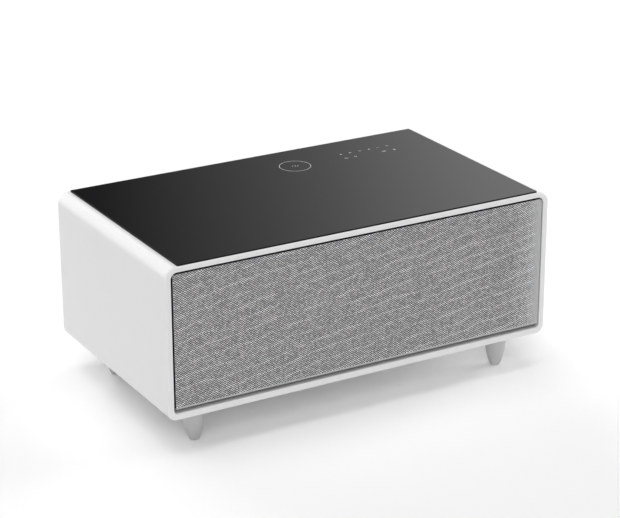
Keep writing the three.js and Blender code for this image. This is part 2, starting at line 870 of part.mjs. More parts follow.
// Cold side: evaporator, its cover and its fan on the cavity's back
const coldFanY = cowlFloor + seat;
const coldFanZ = cowlHigh - cowl.margin - evaporatorFan.half;
const underFan = { lift: 22, belowFan: 30 };
const evaporatorLow = cowlLow + underFan.lift;
const evaporatorTop = coldFanZ - evaporatorFan.half - underFan.belowFan;
const evaporator = {
  halfLength: 210,
  halfHeight: (evaporatorTop - evaporatorLow) / 2,
  depth: 30,
  fins: 13,
  tubes: 4,
  bar: 1.5,
  finInset: 1,
  header: 6,
};
const evaporatorY = onCavityBack - evaporator.depth;
const evaporatorZ = evaporatorLow + evaporator.halfHeight;
const evaporatorHeaderX = evaporator.halfLength + evaporator.header / 2;
const evaporatorMiddle = evaporatorY + evaporator.depth / 2;

function evaporatorCover() {
  const shell = pan(
    {
      outer: cowlOutline,
      inner: inset(cowlOutline, cowl.wall),
      open: onCavityBack,
      closed: cowlFront,
      floor: cowlFloor,
      round: cowl.round,
    },
    stackY,
  );
  const slot = (x, z, half) => {
    const r = about(x, z, half, cowl.slot / 2, cowl.slotRadius);
    return plate(r, cowlFront - overrun, cowlFloor + seat, stackY, 1);
  };
  const outlets = [-1, 1].flatMap((side) =>
    Array.from({ length: cowl.outletRows }, (_, i) => {
      const z = coldFanZ + cowl.pitch * (i - (cowl.outletRows - 1) / 2);
      return slot(side * cowl.outletOffset, z, cowl.outletHalf);
    }),
  );
  const blow = Array.from({ length: cowl.blowRows }, (_, i) => {
    const rise = cowl.pitch * (i - (cowl.blowRows - 1) / 2);
    return slot(0, coldFanZ + rise, Math.sqrt((evaporatorFan.half - cowl.slot) ** 2 - rise ** 2));
  });
  const returnZ = cowlLow + cowl.returnLift;
  const returns = [-1, 0, 1].map((i) => slot(i * cowl.returnPitch, returnZ, cowl.returnHalf));
  return cut(shell, ...outlets, ...blow, ...returns);
}

// Machine compartment across the back
const compartmentMiddle = (compartmentFront + rearFront) / 2;
const compartmentFloor = mouth.low + seat;

const compressor = {
  fromSide: 40,
  halfX: 76,
  halfY: 52,
  height: 148,
  seamOut: 3,
  seamHeight: 7,
  footHalfX: 96,
  footHalfY: 50,
  footSheet: 2.5,
  terminalHalf: 22,
  stubRadius: 4,
  stubLength: 16,
  stubSpread: 22,
};
const potShares = {
  lower: [[0, 0], [0.62, 0], [0.9, 0.08], [1, 0.22]],
  seamShare: 0.55,
  upper: [[0.97, 0.76], [0.82, 0.91], [0.5, 0.985], [0, 1]],
  terminalShare: 0.3,
  dischargeShare: 0.4,
  centreShare: 0.5,
  suctionShare: 0.72,
};
const tray = { sheet: 2, halfX: 112, halfY: 56 };
const compressorX = mouth.left + compressor.fromSide + tray.halfX;
const rubberFoot = { radius: 9, height: 12, waist: 7, fromEnd: 14 };
const trayTop = compartmentFloor + tray.sheet;
const rubberLow = trayTop + seat;
const feetLow = rubberLow + rubberFoot.height + seat;
const feetHigh = feetLow + compressor.footSheet;
const potLow = feetHigh - seat;
const potHeightAt = (share) => potLow + compressor.height * share;

const compressorTray = () => block(span(tray.halfX), span(tray.halfY), [compartmentFloor, trayTop]);

const rubberMount = () =>
  turned(
    [
      [0, 0],
      [rubberFoot.radius, 0],
      [rubberFoot.radius, rubberFoot.height / 3],
      [rubberFoot.waist, rubberFoot.height / 2],
      [rubberFoot.radius, (2 * rubberFoot.height) / 3],
      [rubberFoot.radius, rubberFoot.height],
      [0, rubberFoot.height],
    ],
    facets.smallSides,
  );

// The compressor's pot is oval, with a welded seam, four-cornered feet, a terminal box and two stubs.
function compressorBody() {
  const c = compressor;
  const seamOut = 1 + c.seamOut / c.halfX;
  const seamTop = potShares.seamShare + c.seamHeight / c.height;
  const profile = [
    ...potShares.lower,
    [1, potShares.seamShare],
    [seamOut, potShares.seamShare],
    [seamOut, seamTop],
    [1, seamTop],
    ...potShares.upper,
  ];
  const oval = (u, v, w) => [u * c.halfX, v * c.halfY, potHeightAt(w)];
  const pot = restacked(turned(profile, facets.roundSides), oval);
  const feet = block(span(c.footHalfX), span(c.footHalfY), [feetLow, feetHigh]);
  const terminalLow = potHeightAt(potShares.terminalShare);
  const terminals = block(
    [-c.halfX - c.terminalHalf / 2, -c.halfX / 2],
    span(c.terminalHalf),
    [terminalLow, terminalLow + 2 * c.terminalHalf],
  );
  const stub = rod(c.stubRadius, c.halfX / 2, c.halfX + c.stubLength, facets.smallSides, stackX);
  const dischargeStub = moved(stub, 0, c.stubSpread, potHeightAt(potShares.dischargeShare));
  const suctionStub = moved(stub, 0, -c.stubSpread, potHeightAt(potShares.suctionShare));
  return join(pot, feet, terminals, dischargeStub, suctionStub);
}

// The evaporation tray lies under the condenser, whose headers stand on its side walls.
const pool = { halfX: 120, length: 76, depth: 22, wall: 1.8, corner: 10 };
const poolTop = compartmentFloor + pool.depth;
const poolFront = compartmentFront + seat;
function evaporationTray() {
  const outer = centred(pool.halfX, poolFront, poolFront + pool.length, pool.corner);
  return pan(
    {
      outer,
      inner: inset(outer, pool.wall),
      open: poolTop,
      closed: compartmentFloor,
      floor: compartmentFloor + pool.wall,
      round: pool.wall,
    },
    stackZ,
    2,
  );
}

const condenser = {
  halfLength: 118,
  halfHeight: 62,
  depth: 34,
  fins: 10,
  tubes: 6,
  bar: 1.6,
  finInset: 1,
  header: 7,
  standoff: 14,
};
const condenserY = compartmentFront + condenser.standoff;
const condenserLow = poolTop + seat;
const condenserZ = condenserLow + condenser.halfHeight;
const condenserTop = condenserZ + condenser.halfHeight;
const condenserMiddle = condenserY + condenser.depth / 2;
const condenserHeaderX = condenser.halfLength + condenser.header / 2;
const hotFanY = condenserY + condenser.depth + seat;
const hotFanZ = condenserLow + condenserFan.half;

const controlBox = { fromDrier: 35.5, halfX: 62, halfY: 40, height: 80, corner: 6, round: 3 };
const coolingRib = { count: 4, width: 3, rise: 3, pitch: 25, halfLength: 28 };
function controlHousing() {
  const top = compartmentFloor + controlBox.height;
  const plan = about(0, 0, controlBox.halfX, controlBox.halfY, controlBox.corner);
  const ribs = Array.from({ length: coolingRib.count }, (_, i) => {
    const x = coolingRib.pitch * (i - (coolingRib.count - 1) / 2);
    return block(
      [x - coolingRib.width / 2, x + coolingRib.width / 2],
      span(coolingRib.halfLength),
      [top - coolingRib.rise, top + coolingRib.rise],
    );
  });
  return join(slab(plan, compartmentFloor, top, controlBox.round, stackZ, 2), ...ribs);
}

// Speakers face the rear cover's grilles.
const speaker = {
  inFromSide: 92,
  fromTop: 88,
  radius: 45,
  land: 41,
  flange: 3,
  surround: 37,
  cone: 33,
  coneDepth: 13,
  dust: 11,
  dustRise: 4,
  basket: 22,
  magnet: 26,
  depth: 40,
};
const speakerX = halfWidth - speaker.inFromSide;
const speakerZ = mouth.high - speaker.fromTop;
const speakerBack = rearFront - seat;
function speakerUnit() {
  const profile = [
    [0, speaker.dustRise - speaker.coneDepth],
    [speaker.dust, -speaker.coneDepth],
    [speaker.cone, -speaker.flange],
    [speaker.surround, -speaker.flange / 2],
    [speaker.land, -speaker.flange],
    [speaker.land, 0],
    [speaker.radius, 0],
    [speaker.radius, -speaker.flange],
    [speaker.magnet, -speaker.basket],
    [speaker.magnet, -speaker.depth],
    [0, -speaker.depth],
  ];
  return moved(turned(profile, facets.roundSides, stackY), 0, speakerBack, 0);
}

// Power inlet: a recessed socket with three blades, set in the rear cover
const inlet = {
  inFromSide: 80,
  aboveFloor: 58,
  plateHalfX: 24,
  plateHalfZ: 15,
  plateCorner: 4,
  plate: 2,
  bodyHalfX: 17,
  bodyHalfZ: 12,
  bodyDepth: 24,
  socketHalfX: 13,
  socketHalfZ: 9,
  socketDepth: 19,
  corner: 2,
  bladeHalfX: 1,
  bladeHalfZ: 2.2,
  bladeLength: 12,
  pitch: 7,
  rise: 2,
};
const inletX = halfWidth - inlet.inFromSide;
const inletZ = mouth.low + inlet.aboveFloor;
function powerInlet() {
  const front = rearBack + seat;
  const face = front + inlet.plate;
  const rim = about(0, 0, inlet.plateHalfX, inlet.plateHalfZ, inlet.plateCorner);
  const body = about(0, 0, inlet.bodyHalfX, inlet.bodyHalfZ, inlet.corner);
  const socket = about(0, 0, inlet.socketHalfX, inlet.socketHalfZ, inlet.corner);
  const floor = face - inlet.socketDepth;
  const housing = join(
    plate(rim, front, face, stackY, 2),
    plate(body, face - inlet.bodyDepth, face - seat, stackY, 1),
  );
  const hollow = plate(socket, floor, face + overrun, stackY, 1);
  const blades = [-1, 0, 1].map((i) => {
    const x = i * inlet.pitch;
    const z = i === 0 ? inlet.rise : -inlet.rise;
    return block(
      [x - inlet.bladeHalfX, x + inlet.bladeHalfX],
      [floor - inlet.plate, floor + inlet.bladeLength],
      [z - inlet.bladeHalfZ, z + inlet.bladeHalfZ],
    );
  });
  return join(cut(housing, hollow), ...blades);
}

// Rear cover with vent slots, speaker grilles and the inlet's window
const vent = { slot: 6, pitch: 13, radius: 2.8, rows: 8, intakeHalf: 96, exhaustHalf: 84 };
const grille = { slot: 4, radius: 1.8, pitch: 10, rows: 5, margin: 4 };
function rearCover() {
  const shape = polygon(outlineOf(fitted));
  const slots = [];
  const ventBlock = (x, z, half) => {
    for (let i = 0; i < vent.rows; i++) {
      const middle = z + vent.pitch * (i - (vent.rows - 1) / 2);
      slots.push(about(x, middle, half, vent.slot / 2, vent.radius));
    }
  };
  const speakerGrille = (x) => {
    for (let i = 0; i < grille.rows; i++) {
      const rise = grille.pitch * (i - (grille.rows - 1) / 2);
      const half = Math.sqrt((speaker.cone - grille.margin) ** 2 - rise ** 2);
      slots.push(about(x, speakerZ + rise, half, grille.slot / 2, grille.radius));
    }
  };
  ventBlock(0, condenserZ, vent.intakeHalf);
  ventBlock(compressorX, potHeightAt(potShares.centreShare), vent.exhaustHalf);
  for (const [, side] of sides) speakerGrille(side * speakerX);
  slots.push(about(inletX, inletZ, inlet.bodyHalfX + run, inlet.bodyHalfZ + run, inlet.corner));
  for (const slot of slots) shape.holes.push(opening(outlineOf(slot, 1)));
  return extrude(shape, rearFront, rearBack, stackY);
}

// Refrigerant pipes, filter drier and drain
const copperPipe = { radius: 3, bend: 14, rise: 18 };
const drier = { radius: 9, length: 70, neck: 4, taper: 8, fromHeader: 34, hang: 12 };
const stubEnd = compressorX + compressor.halfX + compressor.stubLength + seat;
const suctionY = compartmentMiddle - compressor.stubSpread;
const dischargeY = compartmentMiddle + compressor.stubSpread;
const riserX = stubEnd + 2 * copperPipe.bend;
const drierX = condenserHeaderX + drier.fromHeader;
const controlX = drierX + drier.radius + controlBox.fromDrier + controlBox.halfX;
const drierTop = condenserTop - drier.hang;
const drierLow = drierTop - drier.length;

function dischargeLine() {
  const z = potHeightAt(potShares.dischargeShare);
  const over = condenserTop + copperPipe.rise;
  return pipeThrough(
    [
      [stubEnd, dischargeY, z],
      [riserX, dischargeY, z],
      [riserX, dischargeY, over],
      [-condenserHeaderX, condenserMiddle, over],
      [-condenserHeaderX, condenserMiddle, condenserTop + seat],
    ],
    copperPipe.radius,
    copperPipe.bend,
  );
}

function liquidLine() {
  const over = condenserTop + copperPipe.rise;
  return pipeThrough(
    [
      [condenserHeaderX, condenserMiddle, condenserTop + seat],
      [condenserHeaderX, condenserMiddle, over],
      [drierX, condenserMiddle, over],
      [drierX, condenserMiddle, drierTop + seat],
    ],
    copperPipe.radius,
    copperPipe.bend,
  );
}

const filterDrier = () =>
  turned(
    [
      [0, drierLow],
      [drier.neck, drierLow],
      [drier.radius, drierLow + drier.taper],
      [drier.radius, drierTop - drier.taper],
      [drier.neck, drierTop],
      [0, drierTop],
    ],
    facets.roundSides,
  );

function capillaryTube() {
  const low = drierLow - capillary.drop;
  const forward = compartmentFront + capillary.front;
  const over = evaporatorTop + capillary.rise;
  return pipeThrough(
    [
      [drierX, condenserMiddle, drierLow - seat],
      [drierX, condenserMiddle, low],
      [drierX, forward, low],
      [capillary.x, forward, low],
      [capillary.x, forward, passageZ],
      [capillary.x, evaporatorMiddle, passageZ],
      [capillary.x, evaporatorMiddle, over],
      [evaporatorHeaderX, evaporatorMiddle, over],
      [evaporatorHeaderX, evaporatorMiddle, evaporatorTop + seat],
    ],
    capillary.radius,
    capillary.bend,
    facets.thinPipeSides,
  );
}

function suctionLine() {
  const high = condenserTop + suction.rise;
  const z = potHeightAt(potShares.suctionShare);
  return pipeThrough(
    [
      [evaporatorHeaderX + evaporator.header + seat, evaporatorMiddle, passageZ],
      [suction.x, evaporatorMiddle, passageZ],
      [suction.x, suctionY, passageZ],
      [suction.x, suctionY, high],
      [riserX, suctionY, high],
      [riserX, suctionY, z],
      [stubEnd, suctionY, z],
    ],
    suction.radius,
    suction.bend,
  );
}

function drainTube() {
  const dropY = compartmentFront + drain.fromBulkhead;
  const end = compartmentFloor + pool.wall + drain.aboveTray;
  return pipeThrough(
    [
      [drain.x, cavityBack, drainZ],
      [drain.x, dropY, drainZ],
      [drain.x, dropY, end],
    ],
    drain.radius,
    drain.bend,
  );
}

// Assembly
const shellGroup = subassembly("cabinet");
add(shellGroup, "cabinet_wrap", cabinetWrap(), whiteShell);
add(shellGroup, "inner_liner", innerLiner(), linerWhite);
add(shellGroup, "foam_insulation", foamInsulation(), foamCream);
add(shellGroup, "front_flange", frontFlange(), galvanised);
add(shellGroup, "machine_bulkhead", machineBulkhead(), galvanised);
add(shellGroup, "rear_cover", rearCover(), whiteShell);

const topGroup = subassembly("top");
add(topGroup, "top_glass", glassPane(), blackGlass);
add(topGroup, "glass_bedding_tape", beddingTape(), rubberBlack);
add(topGroup, "top_deck", topDeck(), linerWhite);
add(topGroup, "charging_coil", chargingCoil(), copper, [coilX, coilY, 0]);
add(topGroup, "touch_board", touchBoard(), circuitGreen, [touchX, touchY, 0]);

const legGroup = subassembly("legs");
const oneLeg = legBody();
const oneGlide = legGlide();
for (const [place, x, y] of legPlaces) {
  add(legGroup, "leg_" + place, oneLeg, legGrey, [x, y, 0]);
  add(legGroup, "glide_" + place, oneGlide, rubberGrey, [x, y, 0]);
}

const drawerGroup = subassembly("drawer");
add(drawerGroup, "front_cloth", frontCloth(), greyCloth);
add(drawerGroup, "door_board", doorBoard(), fibreboard);
add(drawerGroup, "door_core", doorCore(), linerWhite);
add(drawerGroup, "door_gasket", doorGasket(), rubberGrey);
add(drawerGroup, "drawer_bin", drawerBin(), clearGrey);
const outerLip = slide.depth - slide.sheet;
for (const [name, side] of sides) {
  const outerCage = ballCage(side, outerCageAcross, outerBallAcross, outerBallUp);
  const innerCage = ballCage(side, innerCageAcross, innerBallAcross, innerBallUp);
  add(drawerGroup, "drawer_rail_" + name, drawerRail(side), galvanised);
  add(drawerGroup, "slide_outer_" + name, slideMember(side, 0, outerLip, outerUp), steel);
  add(drawerGroup, "slide_middle_" + name, slideMember(side, middleAcross, slide.depth, middleUp), steel);
  add(drawerGroup, "slide_inner_" + name, slideMember(side, slide.depth, innerLipAcross, innerUp), steel);
  add(drawerGroup, "outer_ball_cage_" + name, outerCage, steel);
  add(drawerGroup, "inner_ball_cage_" + name, innerCage, steel);
}

const coldGroup = subassembly("cold_side");
add(coldGroup, "evaporator", finCore(evaporator), aluminium, [0, evaporatorY, evaporatorZ]);
add(coldGroup, "evaporator_cover", evaporatorCover(), linerWhite);
add(coldGroup, "evaporator_fan_frame", fanFrame(evaporatorFan), plasticBlack, [0, coldFanY, coldFanZ]);
add(coldGroup, "evaporator_fan_rotor", fanRotor(evaporatorFan), plasticBlack, [0, coldFanY, coldFanZ]);
add(coldGroup, "drain_tube", drainTube(), rubberGrey);

const machineGroup = subassembly("machine_compartment");
const atCompressor = [compressorX, compartmentMiddle, 0];
add(machineGroup, "compressor_tray", compressorTray(), galvanised, atCompressor);
add(machineGroup, "compressor", compressorBody(), paintedSteel, atCompressor);
const oneMount = rubberMount();
const mountSigns = [[-1, -1], [-1, 1], [1, -1], [1, 1]];
mountSigns.forEach(([signX, signY], i) => {
  const x = compressorX + signX * (compressor.footHalfX - rubberFoot.fromEnd);
  const y = compartmentMiddle + signY * (compressor.footHalfY - rubberFoot.fromEnd);
  add(machineGroup, "rubber_mount_" + (i + 1), oneMount, rubberBlack, [x, y, rubberLow]);
});
add(machineGroup, "evaporation_tray", evaporationTray(), clearGrey);
add(machineGroup, "condenser", finCore(condenser), aluminium, [0, condenserY, condenserZ]);
add(machineGroup, "condenser_fan_frame", fanFrame(condenserFan), plasticBlack, [0, hotFanY, hotFanZ]);
add(machineGroup, "condenser_fan_rotor", fanRotor(condenserFan), plasticBlack, [0, hotFanY, hotFanZ]);
add(machineGroup, "control_box", controlHousing(), plasticBlack, [controlX, compartmentMiddle, 0]);
add(machineGroup, "power_inlet", powerInlet(), plasticBlack, [inletX, 0, inletZ]);
for (const [name, side] of sides)
  add(machineGroup, "speaker_" + name, speakerUnit(), plasticBlack, [side * speakerX, 0, speakerZ]);
add(machineGroup, "discharge_line", dischargeLine(), copper);
add(machineGroup, "liquid_line", liquidLine(), copper);
add(machineGroup, "filter_drier", filterDrier(), copper, [drierX, condenserMiddle, 0]);
add(machineGroup, "capillary_tube", capillaryTube(), copper);
add(machineGroup, "suction_line", suctionLine(), copper);

export default table;
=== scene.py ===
# Refrigerator coffee table, dressed over its CAD model. Metres, +Z up, the drawer faces -Y.
import json
from math import copysign, cos, pi, radians, sin, sqrt

import bmesh
import bpy
from mathutils import Matrix, Vector
from mathutils.kdtree import KDTree

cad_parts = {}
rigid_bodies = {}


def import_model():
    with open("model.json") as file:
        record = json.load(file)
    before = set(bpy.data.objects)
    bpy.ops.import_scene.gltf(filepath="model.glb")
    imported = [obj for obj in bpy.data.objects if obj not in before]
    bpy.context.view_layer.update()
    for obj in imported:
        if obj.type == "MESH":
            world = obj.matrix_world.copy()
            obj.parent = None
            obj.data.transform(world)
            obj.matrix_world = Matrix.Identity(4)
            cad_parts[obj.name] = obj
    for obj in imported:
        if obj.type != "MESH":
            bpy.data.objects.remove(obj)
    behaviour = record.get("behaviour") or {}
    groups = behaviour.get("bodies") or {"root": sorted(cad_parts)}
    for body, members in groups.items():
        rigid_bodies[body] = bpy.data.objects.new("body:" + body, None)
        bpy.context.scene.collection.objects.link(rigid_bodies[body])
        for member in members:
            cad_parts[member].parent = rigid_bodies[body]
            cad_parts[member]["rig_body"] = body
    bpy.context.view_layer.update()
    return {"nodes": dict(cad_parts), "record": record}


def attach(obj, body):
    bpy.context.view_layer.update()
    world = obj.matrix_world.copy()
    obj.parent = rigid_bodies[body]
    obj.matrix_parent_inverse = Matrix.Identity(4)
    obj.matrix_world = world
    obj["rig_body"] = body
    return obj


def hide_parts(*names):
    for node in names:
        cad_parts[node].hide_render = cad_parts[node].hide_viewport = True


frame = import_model()
mm = 0.001


# A dictionary of settings that is also read as s.key
class Settings(dict):
    __getattr__ = dict.__getitem__


# Shaders. A signal is one output socket, and the usual operators on it add Math nodes.
class Signal:
    def __init__(self, graph, socket):
        self.graph = graph
        self.socket = socket

    def out(self, name):
        return Signal(self.graph, self.socket.node.outputs[name])

    def isVector(self):
        return self.socket.type in ("VECTOR", "RGBA")

    def combine(self, operation, *values):
        spatial = any(isinstance(v, tuple) or isinstance(v, Signal) and v.isVector() for v in values)
        kind = "VectorMath" if spatial else "Math"
        return self.graph.node(kind, dict(enumerate(values)), operation=operation)

    def __abs__(self):
        return self.combine("ABSOLUTE", self)

    def sine(self):
        return self.combine("SINE", self)

    def whole(self):
        return self.combine("FLOOR", self)


for method, operation in {"add": "ADD", "sub": "SUBTRACT", "mul": "MULTIPLY", "truediv": "DIVIDE", "pow": "POWER",
                          "gt": "GREATER_THAN", "lt": "LESS_THAN"}.items():
    setattr(Signal, "__%s__" % method, lambda self, other, o=operation: self.combine(o, self, other))
    setattr(Signal, "__r%s__" % method, lambda self, other, o=operation: self.combine(o, other, self))


class Graph:
    def __init__(self, tree):
        self.tree = tree
        tree.nodes.clear()

    def node(self, kind, inputs=None, output=0, **settings):
        made = self.tree.nodes.new(kind if "Node" in kind else "ShaderNode" + kind)
        for key, value in settings.items():
            setattr(made, key, value)
        for key, value in (inputs or {}).items():
            self.feed(made.inputs[key], value)
        return Signal(self, made.outputs[output]) if len(made.outputs) else made

    def feed(self, socket, value):
        if isinstance(value, Signal):
            self.tree.links.new(value.socket, socket)
        else:
            socket.default_value = (*value, 1) if socket.type == "RGBA" else value

    def split(self, vector):
        return self.node("SeparateXYZ", {"Vector": vector})

    def join(self, **axes):
        return self.node("CombineXYZ", axes)

    def red(self, colour):
        return self.node("SeparateColor", {"Color": colour})

    def blend(self, factor, first, second):
        return self.node("Mix", {0: factor, 6: first, 7: second}, 2, data_type="RGBA")

    def noise(self, where, scale, detail=2.0, roughness=0.5):
        return self.node("TexNoise", {
            "Vector": where, "Scale": scale, "Detail": detail, "Roughness": roughness})

    def remap(self, *values):
        return self.node("MapRange", dict(enumerate(values)))

    def spread(self, noise, low=0.0, high=1.0):
        return self.remap(noise, 0.3, 0.7, low, high)


def tinted(colour, share):
    return tuple(min(1.0, part * share) for part in colour)


class Finish(Graph):
    def __init__(self, name):
        self.material = bpy.data.materials.new(name)
        self.material.use_nodes = True
        super().__init__(self.material.node_tree)
        self.place = self.node("TexCoord", output="Object")

    def grain(self, scale, detail=2.0, roughness=0.5):
        return self.noise(self.place, scale, detail, roughness)

    def flakes(self, scale):
        return self.red(self.node("TexVoronoi", {"Vector": self.place, "Scale": scale}, "Color"))

    def shades(self, factor, colour, low, high):
        return self.blend(factor, tinted(colour, low), tinted(colour, high))

    def surface(self, tone, roughness, height=None, depth=0.0, strength=0.6, **constants):
        inputs = {"Base Color": tone, "Roughness": roughness}
        inputs.update((key.replace("_", " "), value) for key, value in constants.items())
        if height:
            bump = {"Height": height, "Distance": depth, "Strength": strength}
            inputs["Normal"] = self.node("Bump", bump)
        return self.node("BsdfPrincipled", inputs)

    def output(self, surface):
        self.node("OutputMaterial", {"Surface": surface})
        return self.material

    def close(self, *looks, **constants):
        return self.output(self.surface(*looks, **constants))


def lacquer(name, colour, roughness, peel=0.00001, peelScale=420):
    f = Finish(name)
    rough = f.spread(f.grain(38, 4), roughness - 0.04, roughness + 0.05)
    return f.close(f.shades(f.grain(5, 3), colour, 0.985, 1.01), rough, f.grain(peelScale), peel)


# Metal flakes under a clear coat
def silverLacquer(name, colour, roughness):
    f = Finish(name)
    tone = f.blend(f.grain(6, 3), f.shades(f.flakes(1800), colour, 0.985, 1.015), colour)
    rough = f.spread(f.grain(30), roughness - 0.02, roughness + 0.03)
    return f.close(tone, rough, f.grain(240, 1), 0.00001, 0.15, Metallic=0.35)


# The glass is polished on top, and its ground edge and underside are painted black.
def blackGlassFinish():
    f = Finish("blackGlass")
    dusted = f.blend(f.remap(f.grain(900, 1), 0.76, 0.8), (0.0065, 0.007, 0.0075), (0.02, 0.02, 0.021))
    haze = f.remap(f.grain(9, 4), 0.35, 0.7, 0.03, 0.07)
    polished = f.surface(dusted, haze, f.grain(3, 1), 0.00004, 0.3)
    grind = f.grain(2400)
    painted = f.blend(grind, (0.0015, 0.0015, 0.0016), (0.004, 0.004, 0.0042))
    ground = f.surface(painted, f.spread(grind, 0.5, 0.62), Specular_IOR_Level=0.12)
    onTop = f.split(f.place).out("Z") > 0.4499
    return f.output(f.node("MixShader", {0: onTop, 1: ground, 2: polished}))


def mouldedPlastic(name, colour, roughness, depth=0.00003, scale=1400):
    f = Finish(name)
    fine = f.grain(scale)
    tone = f.blend(f.spread(fine), tinted(colour, 0.93), f.shades(f.grain(7, 3), colour, 0.95, 1.04))
    return f.close(tone, f.spread(f.grain(60, 3), roughness - 0.05, roughness + 0.08), fine, depth, 0.4)


def rubber(name, colour):
    f = Finish(name)
    fine = f.grain(900, 3, 0.6)
    bloom = f.remap(f.grain(26, 4), 0.45, 0.75)
    return f.close(f.shades(bloom, colour, 1, 1.35), f.spread(fine, 0.72, 0.9), fine, 0.00005)


def sheetMetal(name, colour, roughness, spangle=0.0):
    f = Finish(name)
    lines = f.noise(f.node("Mapping", {"Vector": f.place, "Scale": (6.0, 40.0, 900.0)}), 1.0, 3)
    tone = f.shades(f.spread(lines), colour, 0.9, 1.08)
    tone = f.blend(f.flakes(130) * spangle, tone, tinted(colour, 1.3))
    rough = f.remap(lines, 0.25, 0.75, roughness - 0.06, roughness + 0.09)
    return f.close(tone, rough, lines, 0.00002, 0.5, Metallic=1.0)


def foamFinish():
    f = Finish("insulationFoam")
    cells = f.node("TexVoronoi", {"Vector": f.place, "Scale": 900.0})
    skin = f.grain(14, 4)
    tone = f.blend(skin, (0.66, 0.53, 0.27), (0.8, 0.69, 0.41))
    tone = f.blend(f.remap(cells, 0.0, 0.6), tone, (0.58, 0.45, 0.22))
    return f.close(tone, f.remap(cells, 0.0, 0.7, 0.8, 0.96), cells + skin * 2, 0.0005, 0.7)


def fibreboardFinish():
    f = Finish("fibreboard")
    fibre = f.grain(1300, 4, 0.7)
    tone = f.blend(f.spread(fibre), (0.2, 0.14, 0.085), (0.34, 0.25, 0.16))
    tone = f.blend(f.remap(f.grain(160, 3), 0.55, 0.75), tone, (0.15, 0.1, 0.06))
    return f.close(tone, f.spread(fibre, 0.78, 0.93), fibre, 0.0001)


def copperFinish():
    f = Finish("copper")
    tarnish = f.grain(34, 4, 0.6)
    tone = f.blend(f.remap(tarnish, 0.4, 0.7), (0.55, 0.2, 0.085), (0.3, 0.1, 0.045))
    return f.close(tone, f.spread(tarnish, 0.24, 0.42), f.grain(700), 0.00002, 0.5, Metallic=1.0)


def circuitFinish():
    f = Finish("circuitBoard")
    tracks = f.red(f.node("TexBrick", {
        "Vector": f.place, "Color1": (1, 1, 1), "Color2": (0, 0, 0), "Mortar": (0.5, 0.5, 0.5),
        "Scale": 60.0, "Mortar Size": 0.03, "Brick Width": 0.9, "Row Height": 0.3}))
    tone = f.blend(f.spread(tracks), (0.018, 0.075, 0.035), (0.035, 0.13, 0.06))
    tone = f.blend(f.grain(300) * 0.3, tone, (0.02, 0.09, 0.04))
    return f.close(tone, f.spread(f.grain(200), 0.3, 0.45), tracks, 0.00003)


# The cloth's own UV map is in metres. Pale warp and dark weft yarns cross over and under each other, and livelier
# streaks run a little uphill through them. The turned edge is painted near-black as painted shade, the right end is
# painted paler and plainer as painted bounce light, and the low edge, which faces down, is painted paler as painted
# light.
weave = Settings(
    warpPitch=3.7 * mm, weftPitch=2.7 * mm, wander=1.5 * mm, uneven=0.65, depth=0.0006,
    pale=(0.65, 1.06), dark=(0.055, 0.02), shade=(0.967, 0.985, 0.987),
    streakTilt=-0.14, streakPitch=29 * mm, streakLength=70 * mm,
    plain=0.37, plainFrom=0.44, plainTo=0.474, sheen=0.5, sheenFrom=0.4, sheenTo=0.482,
    hem=0.62, hemBelow=0.1185, boundX=(-0.4818, 0.4847), boundY=(0.1095, 0.4299), boundTone=0.008)


def wovenFinish():
    f, w = Finish("wovenCloth"), weave
    uv = f.node("UVMap", uv_map="cloth")
    x, y = f.split(uv), f.split(uv).out("Y")
    across = (x + (f.noise(uv, 90) - 0.5) * w.wander) / w.warpPitch
    along = (y + (f.noise(uv, 77) - 0.5) * w.wander) / w.weftPitch
    warpWave, weftWave = (across * pi).sine(), (along * pi).sine()
    over = f.remap(warpWave * weftWave, -0.04, 0.04)
    warpRound, weftRound = abs(warpWave), abs(weftWave)
    height = f.red(f.blend(over, weftRound ** 0.6, warpRound ** 0.6))
    gap = f.remap(warpRound * weftRound, 0.0, 0.1)
    crossing = f.join(X=across.whole(), Y=along.whole())
    crossing = f.node("TexWhiteNoise", {"Vector": crossing}, noise_dimensions="2D")
    slanted = f.split(f.node("Mapping", {"Vector": uv, "Rotation": (0.0, 0.0, w.streakTilt)}))
    phase = slanted.out("Y") / w.streakPitch + f.noise(uv, 9, 1) * 0.9
    ridge = abs(phase - phase.whole() - 0.5) * 2
    run = f.join(X=slanted.out("X") / w.streakLength, Y=phase.whole() * 7.3)
    lively = f.remap(ridge, 0.76, 0.9) * f.remap(f.noise(run, 1.0, 1), 0.38, 0.5)
    pale, dark = (f.remap(lively, 0.0, 1.0, *ends) for ends in (w.pale, w.dark))
    tone = (dark + (pale - dark) * over) * (1 + (crossing - 0.5) * w.uneven)
    # Painted bounce light: towards the right end the pattern is flattened to a plain tone and brightened by up to half.
    tone = tone + (w.plain - tone) * f.remap(x, w.plainFrom, w.plainTo)
    tone = tone * (1 + f.remap(x, w.sheenFrom, w.sheenTo) * w.sheen)
    # Painted light: the low turned edge, which faces down, is painted paler.
    tone = tone + (w.hem - tone) * (y < w.hemBelow) * 0.8
    fuzz = f.noise(uv, 2600)
    shade = f.blend(f.remap(tone + (fuzz - 0.5) * 0.06, 0.0, 1.0), (0.0, 0.0, 0.0), w.shade)
    # Painted shade: the gaps between the yarns are painted dark grey.
    shade = f.blend(gap, (0.06, 0.06, 0.06), shade)
    # Painted shade: the turned edge all round is painted near-black, for the dark lines in the gaps round the drawer
    # front.
    paintedEdgeShade = (x < w.boundX[0]) + (x > w.boundX[1]) + (y < w.boundY[0]) + (y > w.boundY[1])
    shade = f.blend(paintedEdgeShade, shade, (w.boundTone,) * 3)
    relief = height * 0.8 + gap * 0.3 + fuzz * 0.12
    return f.close(shade, f.spread(fuzz, 0.86, 0.97), relief, w.depth, Specular_IOR_Level=0.2)


